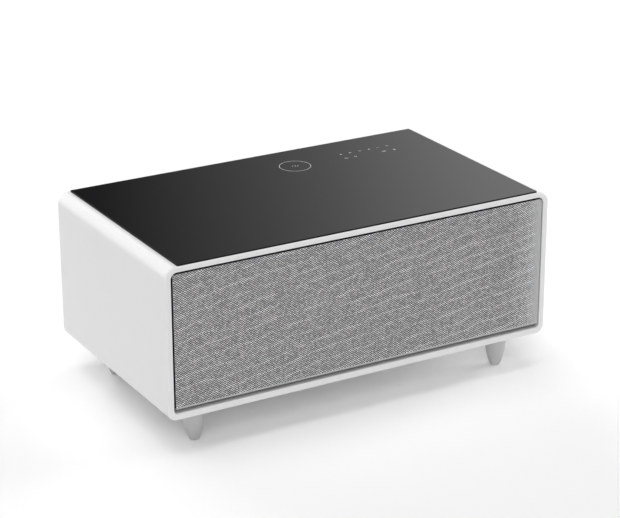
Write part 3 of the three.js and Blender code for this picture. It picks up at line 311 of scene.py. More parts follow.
finishes = {
    "white_lacquer": lacquer("whiteLacquer", (0.8, 0.803, 0.801), 0.34),
    "cover_plastic": mouldedPlastic("coverPlastic", (0.83, 0.835, 0.83), 0.48),
    "liner_plastic": mouldedPlastic("linerPlastic", (0.78, 0.8, 0.81), 0.4, 0.00001, 500),
    "insulation_foam": foamFinish(),
    "galvanised_steel": sheetMetal("galvanisedSteel", (0.5, 0.51, 0.52), 0.42, 0.5),
    "slide_steel": sheetMetal("slideSteel", (0.6, 0.61, 0.62), 0.3),
    "black_glass": blackGlassFinish(),
    "black_rubber": rubber("blackRubber", (0.012, 0.012, 0.012)),
    "grey_rubber": rubber("greyRubber", (0.17, 0.178, 0.185)),
    "copper": copperFinish(),
    "circuit_board": circuitFinish(),
    "leg_lacquer": silverLacquer("legSilver", (0.52, 0.52, 0.517), 0.36),
    "woven_cloth": wovenFinish(),
    "fibreboard": fibreboardFinish(),
    "bin_plastic": mouldedPlastic("binPlastic", (0.68, 0.71, 0.73), 0.3, 0.000008, 600),
    "fin_aluminium": sheetMetal("finAluminium", (0.72, 0.73, 0.74), 0.32),
    "black_painted_steel": lacquer("blackPaint", (0.016, 0.0165, 0.017), 0.36, 0.00004, 300),
    "black_plastic": mouldedPlastic("blackPlastic", (0.02, 0.021, 0.022), 0.5),
}
slots = {part["node"]: part["material_slot"] for part in frame["record"]["subparts"]}
for node, slotName in slots.items():
    for materialSlot in frame["nodes"][node].material_slots:
        materialSlot.material = finishes[slotName]
print("finishes made:", len(finishes))


# Mesh helpers, all in millimetres: newPiece turns its points into metres. A section is a
# rectangle with round corners, and its two lower corners can have a radius of their own.
def rect(left, right, low, high, radius, lowRadius=None):
    return (left, right, low, high, radius, radius if lowRadius is None else lowRadius)


def about(u, v, halfU, halfV, radius):
    return rect(u - halfU, u + halfU, v - halfV, v + halfV, radius)


def inset(section, by):
    left, right, low, high, radius, lowRadius = section
    return (left + by, right - by, low + by, high - by, max(radius - by, 0.1), max(lowRadius - by, 0.1))


def outline(section, steps):
    left, right, low, high, radius, lowRadius = section
    corners = [(right - lowRadius, low + lowRadius, lowRadius), (right - radius, high - radius, radius),
               (left + radius, high - radius, radius), (left + lowRadius, low + lowRadius, lowRadius)]
    points = []
    for corner, (u, v, reach) in enumerate(corners):
        for i in range(steps + 1):
            angle = pi / 2 * (corner - 1 + i / steps)
            points.append((u + reach * cos(angle), v + reach * sin(angle)))
    return points


# A stack says which way the sections follow each other.
def stackX(u, v, w):
    return (w, u, v)


def stackY(u, v, w):
    return (u, w, v)


def stackZ(u, v, w):
    return (u, v, w)


def arc(steps, turn=pi / 2):
    return [turn * i / steps for i in range(steps + 1)]


def quarter(radius, steps):
    return [(radius * (1 - sin(a)), radius * (1 - cos(a))) for a in arc(steps)]


# Sections round an edge, each with its place on the stack; side -1 widens them.
def edged(section, at, way, edge, side=1):
    return [(inset(section, side * by), at + way * along) for by, along in edge]


def facedOut(mesh):
    made = bmesh.new()
    made.from_mesh(mesh)
    bmesh.ops.remove_doubles(made, verts=made.verts, dist=0.000001)
    bmesh.ops.recalc_face_normals(made, faces=made.faces)
    made.to_mesh(mesh)
    made.free()


def placed(data, name="part"):
    piece = bpy.data.objects.new(name, data)
    bpy.context.collection.objects.link(piece)
    return piece


def newPiece(points, faces=(), edges=()):
    mesh = bpy.data.meshes.new("part")
    mesh.from_pydata([tuple(part * mm for part in point) for point in points], edges, faces)
    mesh.validate()
    if faces:
        facedOut(mesh)
    return placed(mesh)


def loft(rings, closed=False):
    count = len(rings[0])
    points = [p for ring in rings for p in ring]
    faces = []
    for band in range(len(rings) if closed else len(rings) - 1):
        here, there = band * count, (band + 1) % len(rings) * count
        for i in range(count):
            j = (i + 1) % count
            faces.append((here + i, here + j, there + j, there + i))
    if not closed:
        faces += [tuple(range(count)), tuple(range(len(points) - count, len(points)))]
    return newPiece(points, faces)


def stacked(sections, stack, steps):
    return [[stack(u, v, at) for u, v in outline(section, steps)] for section, at in sections]


def sweep(sections, stack, steps, closed=False):
    return loft(stacked(sections, stack, steps), closed)


def slab(section, start, end, radius, stack, steps=8, edgeSteps=4):
    way = 1 if end > start else -1
    edge = quarter(radius, edgeSteps)
    return sweep(edged(section, start, way, edge) + edged(section, end, -way, edge[::-1]), stack, steps)


def openPan(outer, inner, rim, closedAt, floor, radius, stack, steps, edgeSteps, lip=0.0):
    way = 1 if rim > closedAt else -1
    edge = quarter(radius, edgeSteps)
    top = quarter(lip, 3) if lip else [(0.0, 0.0)]
    sections = edged(outer, closedAt, way, edge) + edged(outer, rim, -way, top[::-1])
    sections += edged(inner, rim, -way, top, -1) + edged(inner, floor, way, edge[::-1])
    return sweep(sections, stack, steps)


def prism(points, start, end, stack):
    return loft([[stack(u, v, at) for u, v in points] for at in (start, end)])


def fourCorners(x, y, aside, ahead):
    return [(x + sx * aside, y + sy * ahead) for sx in (-1, 1) for sy in (-1, 1)]


def lathe(profile, sides, place, stack=stackZ):
    x, y, z = place
    points, rows = [], []
    for radius, height in profile:
        ring = []
        for i in range(1 if radius == 0 else sides):
            turn = 2 * pi * i / sides
            u, v, w = stack(radius * cos(turn), radius * sin(turn), height)
            ring.append(len(points))
            points.append((x + u, y + v, z + w))
        rows.append(ring)
    faces = []
    for low, high in zip(rows, rows[1:]):
        for i in range(sides):
            j = (i + 1) % sides
            corners = [low[i % len(low)], low[j % len(low)], high[j % len(high)], high[i % len(high)]]
            faces.append(tuple(dict.fromkeys(corners)))
    return newPiece(points, [face for face in faces if len(face) > 2])


def rod(radius, start, end, place, stack, sides=32, edge=0.0):
    profile = [(0, start), (radius - edge, start), (radius, start + edge),
               (radius, end - edge), (radius - edge, end), (0, end)]
    return lathe(list(dict.fromkeys(profile)), sides, place, stack)


def bezier(corners, steps):
    points = []
    for i in range(steps + 1):
        t = i / steps
        weights = [(1 - t) ** 3, 3 * t * (1 - t) ** 2, 3 * t * t * (1 - t), t ** 3]
        points.append(tuple(sum(w * c[k] for w, c in zip(weights, corners)) for k in (0, 1)))
    return points


def rounded(points, radius, steps=4):
    turned = []
    for i, corner in enumerate(points):
        here = Vector(corner)
        before, after = Vector(points[i - 1]) - here, Vector(points[(i + 1) % len(points)]) - here
        reach = min(radius, before.length * 0.45, after.length * 0.45)
        start, end = here + before.normalized() * reach, here + after.normalized() * reach
        for k in range(steps + 1):
            t = k / steps
            turned.append(tuple(start * (1 - t) ** 2 + here * 2 * t * (1 - t) + end * t * t))
    return turned


def settle(piece):
    view = bpy.context.evaluated_depsgraph_get()
    finished = bpy.data.meshes.new_from_object(piece.evaluated_get(view))
    piece.modifiers.clear()
    piece.data = finished
    return piece


def cutAway(piece, *tools, operation="DIFFERENCE"):
    for tool in tools:
        modifier = piece.modifiers.new(operation, "BOOLEAN")
        modifier.operation = operation
        modifier.object = tool
        settle(piece)
        bpy.data.objects.remove(tool)
    return piece


def united(piece, tool):
    return cutAway(piece, tool, operation="UNION")


def gathered(*pieces):
    made = bmesh.new()
    for piece in pieces:
        made.from_mesh(piece.data)
        bpy.data.objects.remove(piece)
    mesh = bpy.data.meshes.new("part")
    made.to_mesh(mesh)
    made.free()
    return placed(mesh)


def softened(piece, width, segments=2):
    bevel = piece.modifiers.new("softened", "BEVEL")
    bevel.width = width * mm
    bevel.segments = segments
    bevel.limit_method = "ANGLE"
    bevel.angle_limit = radians(35)
    return settle(piece)


# A piece that stands for a CAD node takes its body and material slot. Edges are sharp from the crease's
# angle on, and a plain piece's normals aren't weighted by area.
def fit(name, piece, node=None, slotName=None, crease=32, plain=False, finish=None):
    if crease:
        piece.data.shade_smooth()
        piece.data.set_sharp_from_angle(angle=radians(crease))
        if not plain:
            normals = piece.modifiers.new("normals", "WEIGHTED_NORMAL")
            normals.keep_sharp = True
            normals.weight = 90
            settle(piece)
    piece.name = name
    piece.data.materials.clear()
    piece.data.materials.append(finish or finishes[slotName or slots[node]])
    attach(piece, frame["nodes"][node]["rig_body"] if node else "cabinet")
    slotName or slots[node]
    if node:
        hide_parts(node)


# Geometry Nodes. A grower is one tree with named inputs, and grown() makes a plain mesh of it.
class Grower(Graph):
    def __init__(self, name, **inputs):
        super().__init__(bpy.data.node_groups.new(name, "GeometryNodeTree"))
        self.addSocket("Base", "Geometry")
        self.keys = {}
        for key, value in inputs.items():
            socket = self.addSocket(key, {int: "Int", float: "Float", tuple: "Vector"}[type(value)])
            socket.default_value = value
            self.keys[key] = socket.identifier
        self.addSocket("Made", "Geometry", "OUTPUT")
        self.given = self.node("NodeGroupInput").out

    def addSocket(self, name, kind, way="INPUT"):
        return self.tree.interface.new_socket(name, in_out=way, socket_type="NodeSocket" + kind)

    def geo(self, kind, *inputs, **settings):
        return self.node("GeometryNode" + kind, *inputs, **settings)

    def copies(self, points, shape, angles=None):
        inputs = {"Points": points, "Instance": shape}
        if angles:
            inputs["Rotation"] = self.node("FunctionNodeEulerToRotation", {0: angles})
        return self.geo("RealizeInstances", {0: self.geo("InstanceOnPoints", inputs)})

    def tube(self, path, radius, sides):
        circle = self.geo("CurvePrimitiveCircle", {"Resolution": sides, "Radius": radius})
        return self.geo("CurveToMesh", {"Curve": path, "Profile Curve": circle, "Fill Caps": True})

    def moved(self, shape, by):
        return self.geo("Transform", {"Geometry": shape, "Translation": by})

    def done(self, shape):
        self.node("NodeGroupOutput", {0: shape})
        return self


def grown(tree, base=None, **values):
    piece = base or newPiece([])
    modifier = piece.modifiers.new("grown", "NODES")
    modifier.node_group = tree.tree
    for key, value in values.items():
        modifier[tree.keys[key]] = value
    settle(piece)
    facedOut(piece.data)
    return piece


def rowTree():
    g = Grower("row", count=2, step=(0.0, 0.0, 0.0))
    line = g.geo("MeshLine", {"Count": g.given("count"), "Offset": g.given("step")})
    return g.done(g.copies(line, g.given("Base")))


def ringTree():
    g = Grower("ring", count=3, axisFrom=(0.0, 0.0, 0.0))
    line = g.geo("MeshLine", {
        "Count": g.given("count"), "Start Location": g.given("axisFrom"), "Offset": (0.0, 0.0, 0.0)})
    turn = g.geo("InputIndex") * (2 * pi) / g.given("count")
    return g.done(g.copies(line, g.given("Base"), g.join(Y=turn)))


def pipeTree():
    g = Grower("pipe", radius=0.003, bend=0.014)
    path = g.geo("MeshToCurve", {"Mesh": g.given("Base")})
    path = g.geo("FilletCurve", {"Curve": path, "Count": 8, "Radius": g.given("bend"), "Limit Radius": True},
                 mode="POLY")
    return g.done(g.tube(path, g.given("radius"), 20))


def screwTree():
    g = Grower("screw", radius=0.0035, height=0.0014, turned=(0.0, 0.0, 0.0))
    radius, height = g.given("radius"), g.given("height")
    head = g.geo("MeshCylinder", {"Vertices": 24, "Radius": radius, "Depth": height})
    long, wide = radius * 1.25, radius * 0.26
    for x, y in ((long, wide), (wide, long)):
        bar = g.moved(g.geo("MeshCube", {"Size": g.join(X=x, Y=y, Z=height * 1.2)}), g.join(Z=height * 0.75))
        head = g.geo("MeshBoolean", {"Mesh 1": head, "Mesh 2": bar}, operation="DIFFERENCE")
    return g.done(g.copies(g.given("Base"), head, g.given("turned")))


def ballTree():
    g = Grower("balls", radius=0.0019)
    ball = g.geo("MeshIcoSphere", {"Radius": g.given("radius"), "Subdivisions": 3})
    return g.done(g.copies(g.given("Base"), ball))


def windingTree():
    g = Grower("winding", turns=12.0, inner=0.02, outer=0.038, wire=0.0007, place=(0.0, 0.0, 0.0))
    path = g.geo("CurveSpiral", {
        "Resolution": 36, "Rotations": g.given("turns"), "Start Radius": g.given("inner"),
        "End Radius": g.given("outer"), "Height": 0.0})
    return g.done(g.moved(g.tube(path, g.given("wire"), 8), g.given("place")))


row, ring, pipe, screw, balls, winding = rowTree(), ringTree(), pipeTree(), screwTree(), ballTree(), windingTree()
facing = {"back": (-pi / 2, 0.0, 0.0), "front": (pi / 2, 0.0, 0.0), "up": (0.0, 0.0, 0.0)}


def inRow(piece, count, *step):
    return grown(row, piece, count=count, step=tuple(part * mm for part in step))


def screws(name, spots, face, radius, height):
    heads = grown(screw, newPiece(spots), radius=radius * mm, height=height * mm, turned=facing[face])
    fit(name, heads, slotName="slide_steel", crease=30, plain=True)


# Camera, world, lamps and floor
viewpoint = Settings(
    lens=123.424, azimuth=-29.8455, elevation=21.1346, roll=-0.2047,
    sideways=0.0184, upwards=0.1776, distance=5.1013, aim=(0.0, 0.0075, 0.086))
studio = Settings(
    ambient=0.05, lampSpread=40,
    lamps=[("overhead", 0, 90, 0.85), ("frontLeft", 330, 34, 1.25), ("left", 262, 62, 0.66),
           ("right", 90, 15, 2.05), ("rear", 180, 15, 1.75)],
    floor=(0.98, 0.98, 0.98), floorHalf=12000, footprint=(0.5, 0.29, 0.0), farFrom=0.1, farTo=1.1,
    mirrorAxis=(0.864, -0.503, 0.0),
    mirrorStops=[(0.0, 2.6), (0.3, 2.4), (0.37, 1.5), (0.41, 0.02), (0.43, 0.02), (0.447, 0.04), (0.4625, 0.12),
                 (0.478, 0.217), (0.49, 0.3), (0.502, 0.4), (0.52, 0.6), (0.533, 0.74), (0.546, 0.86),
                 (0.6, 0.97), (1.0, 1.0)])


def towards(azimuth, height):
    turn, lift = radians(azimuth), radians(height)
    return Vector((sin(turn) * cos(lift), -cos(turn) * cos(lift), sin(lift)))


def placeCamera():
    v = viewpoint
    turn, roll = radians(v.azimuth), radians(v.roll)
    back = towards(v.azimuth, v.elevation)
    right = Vector((cos(turn), sin(turn), 0))
    up = back.cross(right)
    right, up = right * cos(roll) + up * sin(roll), up * cos(roll) - right * sin(roll)
    place = right * v.sideways + up * v.upwards + back * v.distance + Vector(v.aim)
    data = bpy.data.cameras.new("camera")
    data.lens = v.lens
    camera = placed(data, "camera")
    camera.matrix_world = Matrix.Translation(place) @ Matrix((right, up, back)).transposed().to_4x4()
    bpy.context.scene.camera = camera


# The glass mirrors a ramp that isn't seen otherwise, and the lamps don't show in it.
def lightStudio():
    world = bpy.data.worlds.new("studio")
    bpy.context.scene.world = world
    world.use_nodes = True
    g = Graph(world.node_tree)
    direction = g.node("TexCoord", output="Generated")
    across = g.node("VectorMath", {0: direction, 1: studio.mirrorAxis}, "Value", operation="DOT_PRODUCT")
    mirror = g.node("ValToRGB", {"Fac": across * 0.5 + 0.5})
    ramp = mirror.socket.node.color_ramp.elements
    while len(ramp) < len(studio.mirrorStops):
        ramp.new(0.5)
    for element, (place, shade) in zip(ramp, studio.mirrorStops):
        element.position = place
        element.color = (shade, shade, shade, 1)
    path = g.node("LightPath")
    seen = g.blend(path.out("Is Glossy Ray"), (studio.ambient,) * 3, mirror)
    for kind in ("Is Camera Ray", "Is Transmission Ray"):
        seen = g.blend(path.out(kind), seen, (1.0, 1.0, 1.0))
    g.node("OutputWorld", {"Surface": g.node("Background", {"Color": seen, "Strength": 1.0})})
    for name, azimuth, height, strength in studio.lamps:
        lamp = bpy.data.lights.new(name, "SUN")
        lamp.energy = strength
        lamp.angle = radians(studio.lampSpread)
        holder = placed(lamp, name)
        source = towards(azimuth, height)
        holder.rotation_euler = (-source).to_track_quat("-Z", "Y").to_euler()
        holder.visible_glossy = False


def layFloor():
    half = studio.floorHalf
    floor = newPiece([(-half, -half, 0), (half, -half, 0), (half, half, 0), (-half, half, 0)], [(0, 1, 2, 3)])
    floor.name = "floor"
    f = Finish("paleFloor")
    beyond = abs(f.place) - studio.footprint
    beyond = beyond.combine("MAXIMUM", beyond, (0.0, 0.0, 0.0))
    reach = f.node("VectorMath", {0: beyond}, "Value", operation="LENGTH")
    near = f.shades(f.grain(40, 3), studio.floor, 0.995, 1.005)
    tone = f.blend(f.remap(reach, studio.farFrom, studio.farTo), near, studio.floor)
    floor.data.materials.append(f.close(tone, 0.9, Specular_IOR_Level=0.1))


bpy.context.scene.view_settings.view_transform = "Standard"
placeCamera()
lightStudio()
layFloor()
print("studio ready")

# White wrap: one bent board, open at the front and the back
wrap = Settings(
    outside=rect(-500, 500, 88, 447, 29, 21), mouth=rect(-485.5, 485.5, 104, 433.5, 15, 7),
    front=-282.5, back=282.5, lipRound=4, rearRound=2, mouthRound=2.5,
    recess=rect(-469, 469, -280, 280, 3.5), recessFloor=442.2, service=rect(-454, 454, -265, 265, 0.2),
    studHole=4.5, studDepth=11.5)
legSpots = {"front_left": (-407, -216.5), "front_right": (407, -216.5),
            "back_left": (-407, 200.5), "back_right": (407, 200.5)}
# Shared by several pieces: the cooled space, and the room for the boards in the wrap's mouth
cavity = rect(-445, 445, 136, 406, 22)
mouthFill = rect(-485.2, 485.2, 104.3, 433.2, 14.7, 6.7)


def makeWrap():
    w = wrap
    lip, rear, mouth = quarter(w.lipRound, 6), quarter(w.rearRound, 3), quarter(w.mouthRound, 4)
    sections = edged(w.outside, w.front, 1, lip) + edged(w.outside, w.back, -1, rear[::-1])
    sections += edged(w.mouth, w.back, -1, mouth, -1) + edged(w.mouth, w.front, 1, mouth[::-1], -1)
    tools = [sweep([(w.recess, w.recessFloor), (w.recess, 460)], stackZ, 6),
             sweep([(w.service, 425), (w.service, 446)], stackZ, 1)]
    tools += [rod(w.studHole, 83, 88 + w.studDepth, (x, y, 0), stackZ, 16) for x, y in legSpots.values()]
    fit("whiteWrap", cutAway(sweep(sections, stackY, 20, closed=True), *tools), "cabinet_wrap")


makeWrap()

# Black glass top. The printed ring and touch signs are thin films on it.
pane = Settings(
    plan=rect(-468.5, 468.5, -279.5, 279.5, 3), low=444, top=449.97, arris=0.6, film=(449.95, 449.99),
    ring=(72.2, 166.0),
    upperRow=(187.2, [(213.6, "dot"), (239.3, "flake"), (267, "bars"), (293.7, "dot"), (319.3, "minus"),
                      (346, "plus")]),
    lowerRow=(154.8, [(209.5, "power"), (236.2, "bulb"), (317.2, "wide"), (346.8, "lock")]))


def flatRing(x, y, radius, line, steps=72, sweepAngle=360, start=0):
    low, high = pane.film
    whole = sweepAngle == 360
    corners = [(radius - line / 2, low), (radius + line / 2, low), (radius + line / 2, high), (radius - line / 2, high)]
    rings = []
    for i in range(steps if whole else steps + 1):
        turn = radians(start + sweepAngle * i / steps)
        rings.append([(x + r * cos(turn), y + r * sin(turn), z) for r, z in corners])
    return loft(rings, closed=whole)


def bar(x, y, halfX, halfY, turn=0):
    cosine, sine = cos(radians(turn)), sin(radians(turn))
    around = outline(about(0, 0, halfX, halfY, min(halfX, halfY) * 0.9), 3)
    return prism([(x + u * cosine - v * sine, y + u * sine + v * cosine) for u, v in around], *pane.film, stackZ)


def disc(x, y, radius):
    return rod(radius, *pane.film, (x, y, 0), stackZ, 24)


# Each stroke: what draws it, where from the sign's middle, and its sizes
strokes = {
    "charging": [(flatRing, 0, 0, 38.2, 1.5), (bar, 1, 1, 3, 1.1, 60), (bar, -5, 3, 3.6, 0.8, 35),
                 (bar, 6, -2, 3.6, 0.8, 35)],
    "dot": [(disc, 0, 0, 2.6)],
    "flake": [(bar, 0, 0, 4, 0.5, turn) for turn in (0, 60, 120)],
    "bars": [(bar, 0, up, 3.6, 0.55) for up in (-2, 2)],
    "minus": [(bar, 0, 0, 4, 0.6)],
    "plus": [(bar, 0, 0, 4, 0.6), (bar, 0, 0, 4, 0.6, 90)],
    "power": [(flatRing, 0, 0, 3.8, 0.9, 24, 290, 125), (bar, 0, 3.4, 0.5, 2.6)],
    "bulb": [(flatRing, 0, 1.4, 3, 0.9, 28), (bar, 0, -3.4, 1.8, 0.5)],
    "wide": [(bar, 0, up, 5.5, 0.6) for up in (-2.4, 0, 2.4)],
    "lock": [(flatRing, 0, 1.8, 2.2, 0.8, 16, 180), (bar, 0, -1.4, 3.2, 2.4)],
}


def drawn(kind, x, y):
    return [draw(x + right, y + up, *sizes) for draw, right, up, *sizes in strokes[kind]]


def printInk():
    f = Finish("printedSigns")
    worn = f.grain(700, 3)
    tone = f.blend(f.spread(worn), (0.42, 0.43, 0.44), (0.62, 0.63, 0.64))
    return f.close(tone, f.spread(worn, 0.4, 0.55), worn, 0.000005, 0.4)


def makeGlass():
    p, ink = pane, printInk()
    fit("glassTop", slab(p.plan, p.low, p.top, p.arris, stackZ, 6, 3), "top_glass")
    fit("chargingRing", gathered(*drawn("charging", *p.ring)), slotName="black_glass", crease=0, finish=ink)
    signs = [part for y, marks in (p.upperRow, p.lowerRow) for x, kind in marks for part in drawn(kind, x, y)]
    fit("touchSigns", gathered(*signs), slotName="black_glass", crease=0, finish=ink)


makeGlass()
print("wrap and glass done")

# Grey cloth over the drawer's front, turned round the board's edge
clothPan = Settings(outer=rect(-483, 483, 113.5, 431, 12.5, 4.5), front=-282, rim=-273, thickness=1, round=2.5, steps=8)


def makeCloth():
    c, edge = clothPan, quarter(clothPan.round, 6)
    within = inset(c.outer, c.thickness)
    sections = edged(c.outer, c.front, 1, edge) + [(c.outer, c.rim), (within, c.rim)]
    sections += edged(within, c.front + c.thickness, 1, edge[::-1])
    rings = stacked(sections, stackY, c.steps)
    # How far each ring lies outside the flat face, along the cloth
    bend = [c.round * a for a in arc(6)]
    edgeOn = bend[-1] + c.rim - c.front - c.round
    spread = [*bend, edgeOn, edgeOn + c.thickness, *reversed(bend)]
    flatFace = inset(c.outer, c.round)
    lines = list(zip(outline(flatFace, c.steps), outline(inset(flatFace, -1), c.steps)))
    places = [(u + (farU - u) * reach, v + (farV - v) * reach) for reach in spread for (u, v), (farU, farV) in lines]
    piece = loft(rings)
    layer = piece.data.uv_layers.new(name="cloth")
    nearest = KDTree(len(places))
    for i, point in enumerate(p for ring in rings for p in ring):
        nearest.insert(Vector(point) * mm, i)
    nearest.balance()
    for loop in piece.data.loops:
        home = nearest.find(piece.data.vertices[loop.vertex_index].co)[1]
        layer.data[loop.index].uv = [part * mm for part in places[home]]
    fit("clothFront", piece, "front_cloth", crease=50)


makeCloth()

# Turned legs with a screwed stud, and the glides under them
legShape = Settings(
    foot=3.3, footRadius=12, footEdge=[(-1.2, 0), (-0.3, 0.4)], top=87.7, topRadius=27, kneeRadius=25, kneeHeight=23,
    bulge=(0.53, 0.16), stud=4, studTop=98.7, stemHole=3.3, stemTop=12.3)
glideShape = [(0, 0), (9.2, 0), (10.3, 0.35), (11, 1.3), (11, 2.6), (10.6, 3), (3, 3), (3, 12), (0, 12)]
paleGlide = rubber("paleGlide", (0.5, 0.505, 0.505))


def makeLeg(spot, x, y):
    s = legShape
    bulge = (s.kneeRadius * s.bulge[0], s.foot + s.kneeHeight * s.bulge[1])
    curve = bezier([(s.footRadius, s.foot), bulge, (s.kneeRadius, s.kneeHeight), (s.topRadius, s.top)], 28)
    foot = [(s.footRadius + out, s.foot + up) for out, up in s.footEdge]
    profile = [(0, s.stemTop), (s.stemHole, s.stemTop), (s.stemHole, s.foot), *foot, *curve[1:],
               (s.stud, s.top), (s.stud, s.studTop), (0, s.studTop)]
    leg = lathe(profile, 72, (x, y, 0))
    fit("leg_%s_turned" % spot, leg, "leg_" + spot, crease=40)
    glide = lathe(glideShape, 48, (x, y, 0))
    fit("glide_%s_pad" % spot, glide, "glide_" + spot, crease=40, finish=paleGlide)


for spot, (x, y) in legSpots.items():
    makeLeg(spot, x, y)
print("cloth and legs done")

# Drawer front behind the cloth: board, insulated core with a finger groove, bellows gasket.
# The gasket's profile is one half of it, as shares of its width and depth.
front = Settings(
    board=rect(-481.7, 481.7, 114.8, 429.7, 11.2, 3.2), boardAt=(-280.7, -268.7),
    core=rect(-480, 480, 115, 426.5, 15), coreAt=(-268.4, -244.5),
    groove=rect(-271.4, -253.4, 105, 128, 3), grooveHalf=435, gasketAt=(-244.2, -235.8), gasketWidth=16,
    gasket=[(0.88, 0), (0.97, 0.05), (1, 0.14), (1, 0.2), (0.92, 0.33), (0.85, 0.44), (0.84, 0.5), (0.87, 0.58),
            (0.95, 0.7), (1, 0.78), (1, 0.92), (0.96, 1)])


def makeFront():
    f = front
    fit("clothBoard", slab(f.board, *f.boardAt, 1.8, stackY), "door_board")
    groove = slab(f.groove, -f.grooveHalf, f.grooveHalf, 6, stackX, 6)
    core = cutAway(slab(f.core, *f.coreAt, 3, stackY), groove)
    fit("insulatedCore", core, "door_core", crease=40)
    near, far = f.gasketAt
    around = f.gasket + [(1 - across, along) for across, along in reversed(f.gasket)]
    sections = [(inset(cavity, -3 - f.gasketWidth * across), near + (far - near) * along) for across, along in around]
    bellows = sweep(sections, stackY, 10, closed=True)
    fit("bellowsGasket", bellows, "door_gasket", crease=50)


makeFront()

# Drawer bin with floor ribs, and the angle rails that carry it. The rim is given as insets
# and depths below the top, outside and inside.
tub = Settings(
    halfWide=429.9, front=-242.4, back=64.2, low=142, top=385, rim=5, rimHeight=4, wall=3, corner=18, edge=7,
    rimOutside=[(0.6, 4.6), (0, 3.6), (0, 1.2), (0.35, 0.35), (1.2, 0)], rimInside=[(-1.2, 0), (-0.35, 0.35), (0, 1.2)],
    ribs=5, rib=2.5)
railShape = Settings(inner=430.2, outer=431.7, ledge=16, ear=24, low=140.2, top=228, front=-244.2, back=72.3, sheet=1.5)


def makeBin():
    t = tub
    rim = rect(-t.halfWide, t.halfWide, t.front, t.back, t.corner)
    plan = rect(-t.halfWide, t.halfWide, t.front + t.rim, t.back - t.rim, t.corner)
    within, floor, edge = inset(plan, t.wall), t.low + t.wall, quarter(t.edge, 6)
    sections = edged(plan, t.low, 1, edge) + [(plan, t.top - t.rimHeight - t.rim)]
    sections += edged(rim, t.top, -1, t.rimOutside) + edged(within, t.top, -1, t.rimInside)
    shell = sweep(sections + edged(within, floor, 1, edge[::-1]), stackZ, 12)
    left, right, low, high = within[:4]
    pitch = (right - left) / (t.ribs + 1)
    rib = slab(about(left + pitch, floor, t.rib / 2, t.rib, 1.1), low + t.corner, high - t.corner, 1, stackY, 4, 3)
    united(shell, inRow(rib, t.ribs, pitch, 0, 0))
    fit("drawerTub", shell, "drawer_bin")


def makeRail(name, side):
    r = railShape
    tip, low, top = r.inner - r.ledge, r.low, r.top

    def place(u, v, w):
        return (side * u, w, v)

    angle = [(tip, low), (r.outer, low), (r.outer, top), (r.inner, top), (r.inner, low + r.sheet), (tip, low + r.sheet)]
    ear = [(r.outer - r.ear, low), (r.outer, low), (r.outer, top), (r.outer - r.ear, top)]
    tab = prism(rounded(ear, 5), r.front, r.front + r.sheet, place)
    rail = united(prism(angle, r.front, r.back, place), tab)
    fit("angleRail_" + name, softened(rail, 0.35), "drawer_rail_" + name, crease=30)


# Telescopic slides: three rolled channels, with balls in two cages between them. A channel is given
# by its web, its lips and its half height, and a cage by its strip, its balls and their half height.
runner = Settings(
    wall=444.7, height=202, front=-227.7, back=72.3, sheet=1.2, slots=(-200, -60, 45), slotRadius=2.6,
    outer=(0, 11.5, 22.8), middle=(2.4, 12.7, 17.2), inner=(12.7, 4.8, 11.6),
    outerCage=(1.5, 6.65, 19.4), innerCage=(3.9, 8.75, 13.8), cageFront=-142.7, cageLength=110, cageEnd=7,
    cageSheet=0.6, ball=1.9, ballCount=8)


def channelShape(web, face, lip, up, fold):
    return [(web, -up), (lip, -up), (lip, -fold), (face, -fold), (face, fold), (lip, fold), (lip, up), (web, up)]


def makeSlide(name, side):
    r = runner

    def place(u, v, w):
        return (side * (r.wall - u), w, r.height + v)

    for member in ("outer", "middle", "inner"):
        web, lip, up = r[member]
        face, fold = web + copysign(r.sheet, lip - web), up - r.sheet
        channel = prism(channelShape(web, face, lip, up, fold), r.front, r.back, place)
        cuts = [rod(r.slotRadius, -30, 30, (side * r.wall, y, r.height), stackX, 20) for y in r.slots]
        channel = softened(cutAway(channel, gathered(*cuts)), 0.35)
        fit(member + "Channel_" + name, channel, "slide_%s_%s" % (member, name), crease=30)
    for cage in ("outer", "inner"):
        across, ballAcross, up = r[cage + "Cage"]
        half, face, end = r.cageSheet / 2, across + r.cageSheet, ballAcross + r.ball / 2
        strip = channelShape(across, face, end, up + half, up - half)
        folded = softened(prism(strip, r.cageFront, r.cageFront + r.cageLength, place), 0.12, 1)
        pitch = (r.cageLength - 2 * r.cageEnd) / (r.ballCount - 1)
        rows = [r.cageFront + r.cageEnd + pitch * i for i in range(r.ballCount)]
        spots = [place(ballAcross, v, w) for w in rows for v in (-up, up)]
        made = gathered(folded, grown(balls, newPiece(spots), radius=r.ball * mm))
        fit(cage + "BallCage_" + name, made, "%s_ball_cage_%s" % (cage, name), crease=35, plain=True)


makeBin()
for name, side in (("left", -1), ("right", 1)):
    makeRail(name, side)
    makeSlide(name, side)
print("drawer done")

# Insulated box: formed liner with holes for the pipes, front flange and the foam round it
chest = Settings(linerWall=2.5, linerFront=-233.7, linerFloor=112.5, linerEdge=8, flange=(-235.5, -234), flangeEdge=0.3,
                 passages=[(240, 196, 3.5), (264, 196, 1.7), (60, 156.5, 4)])


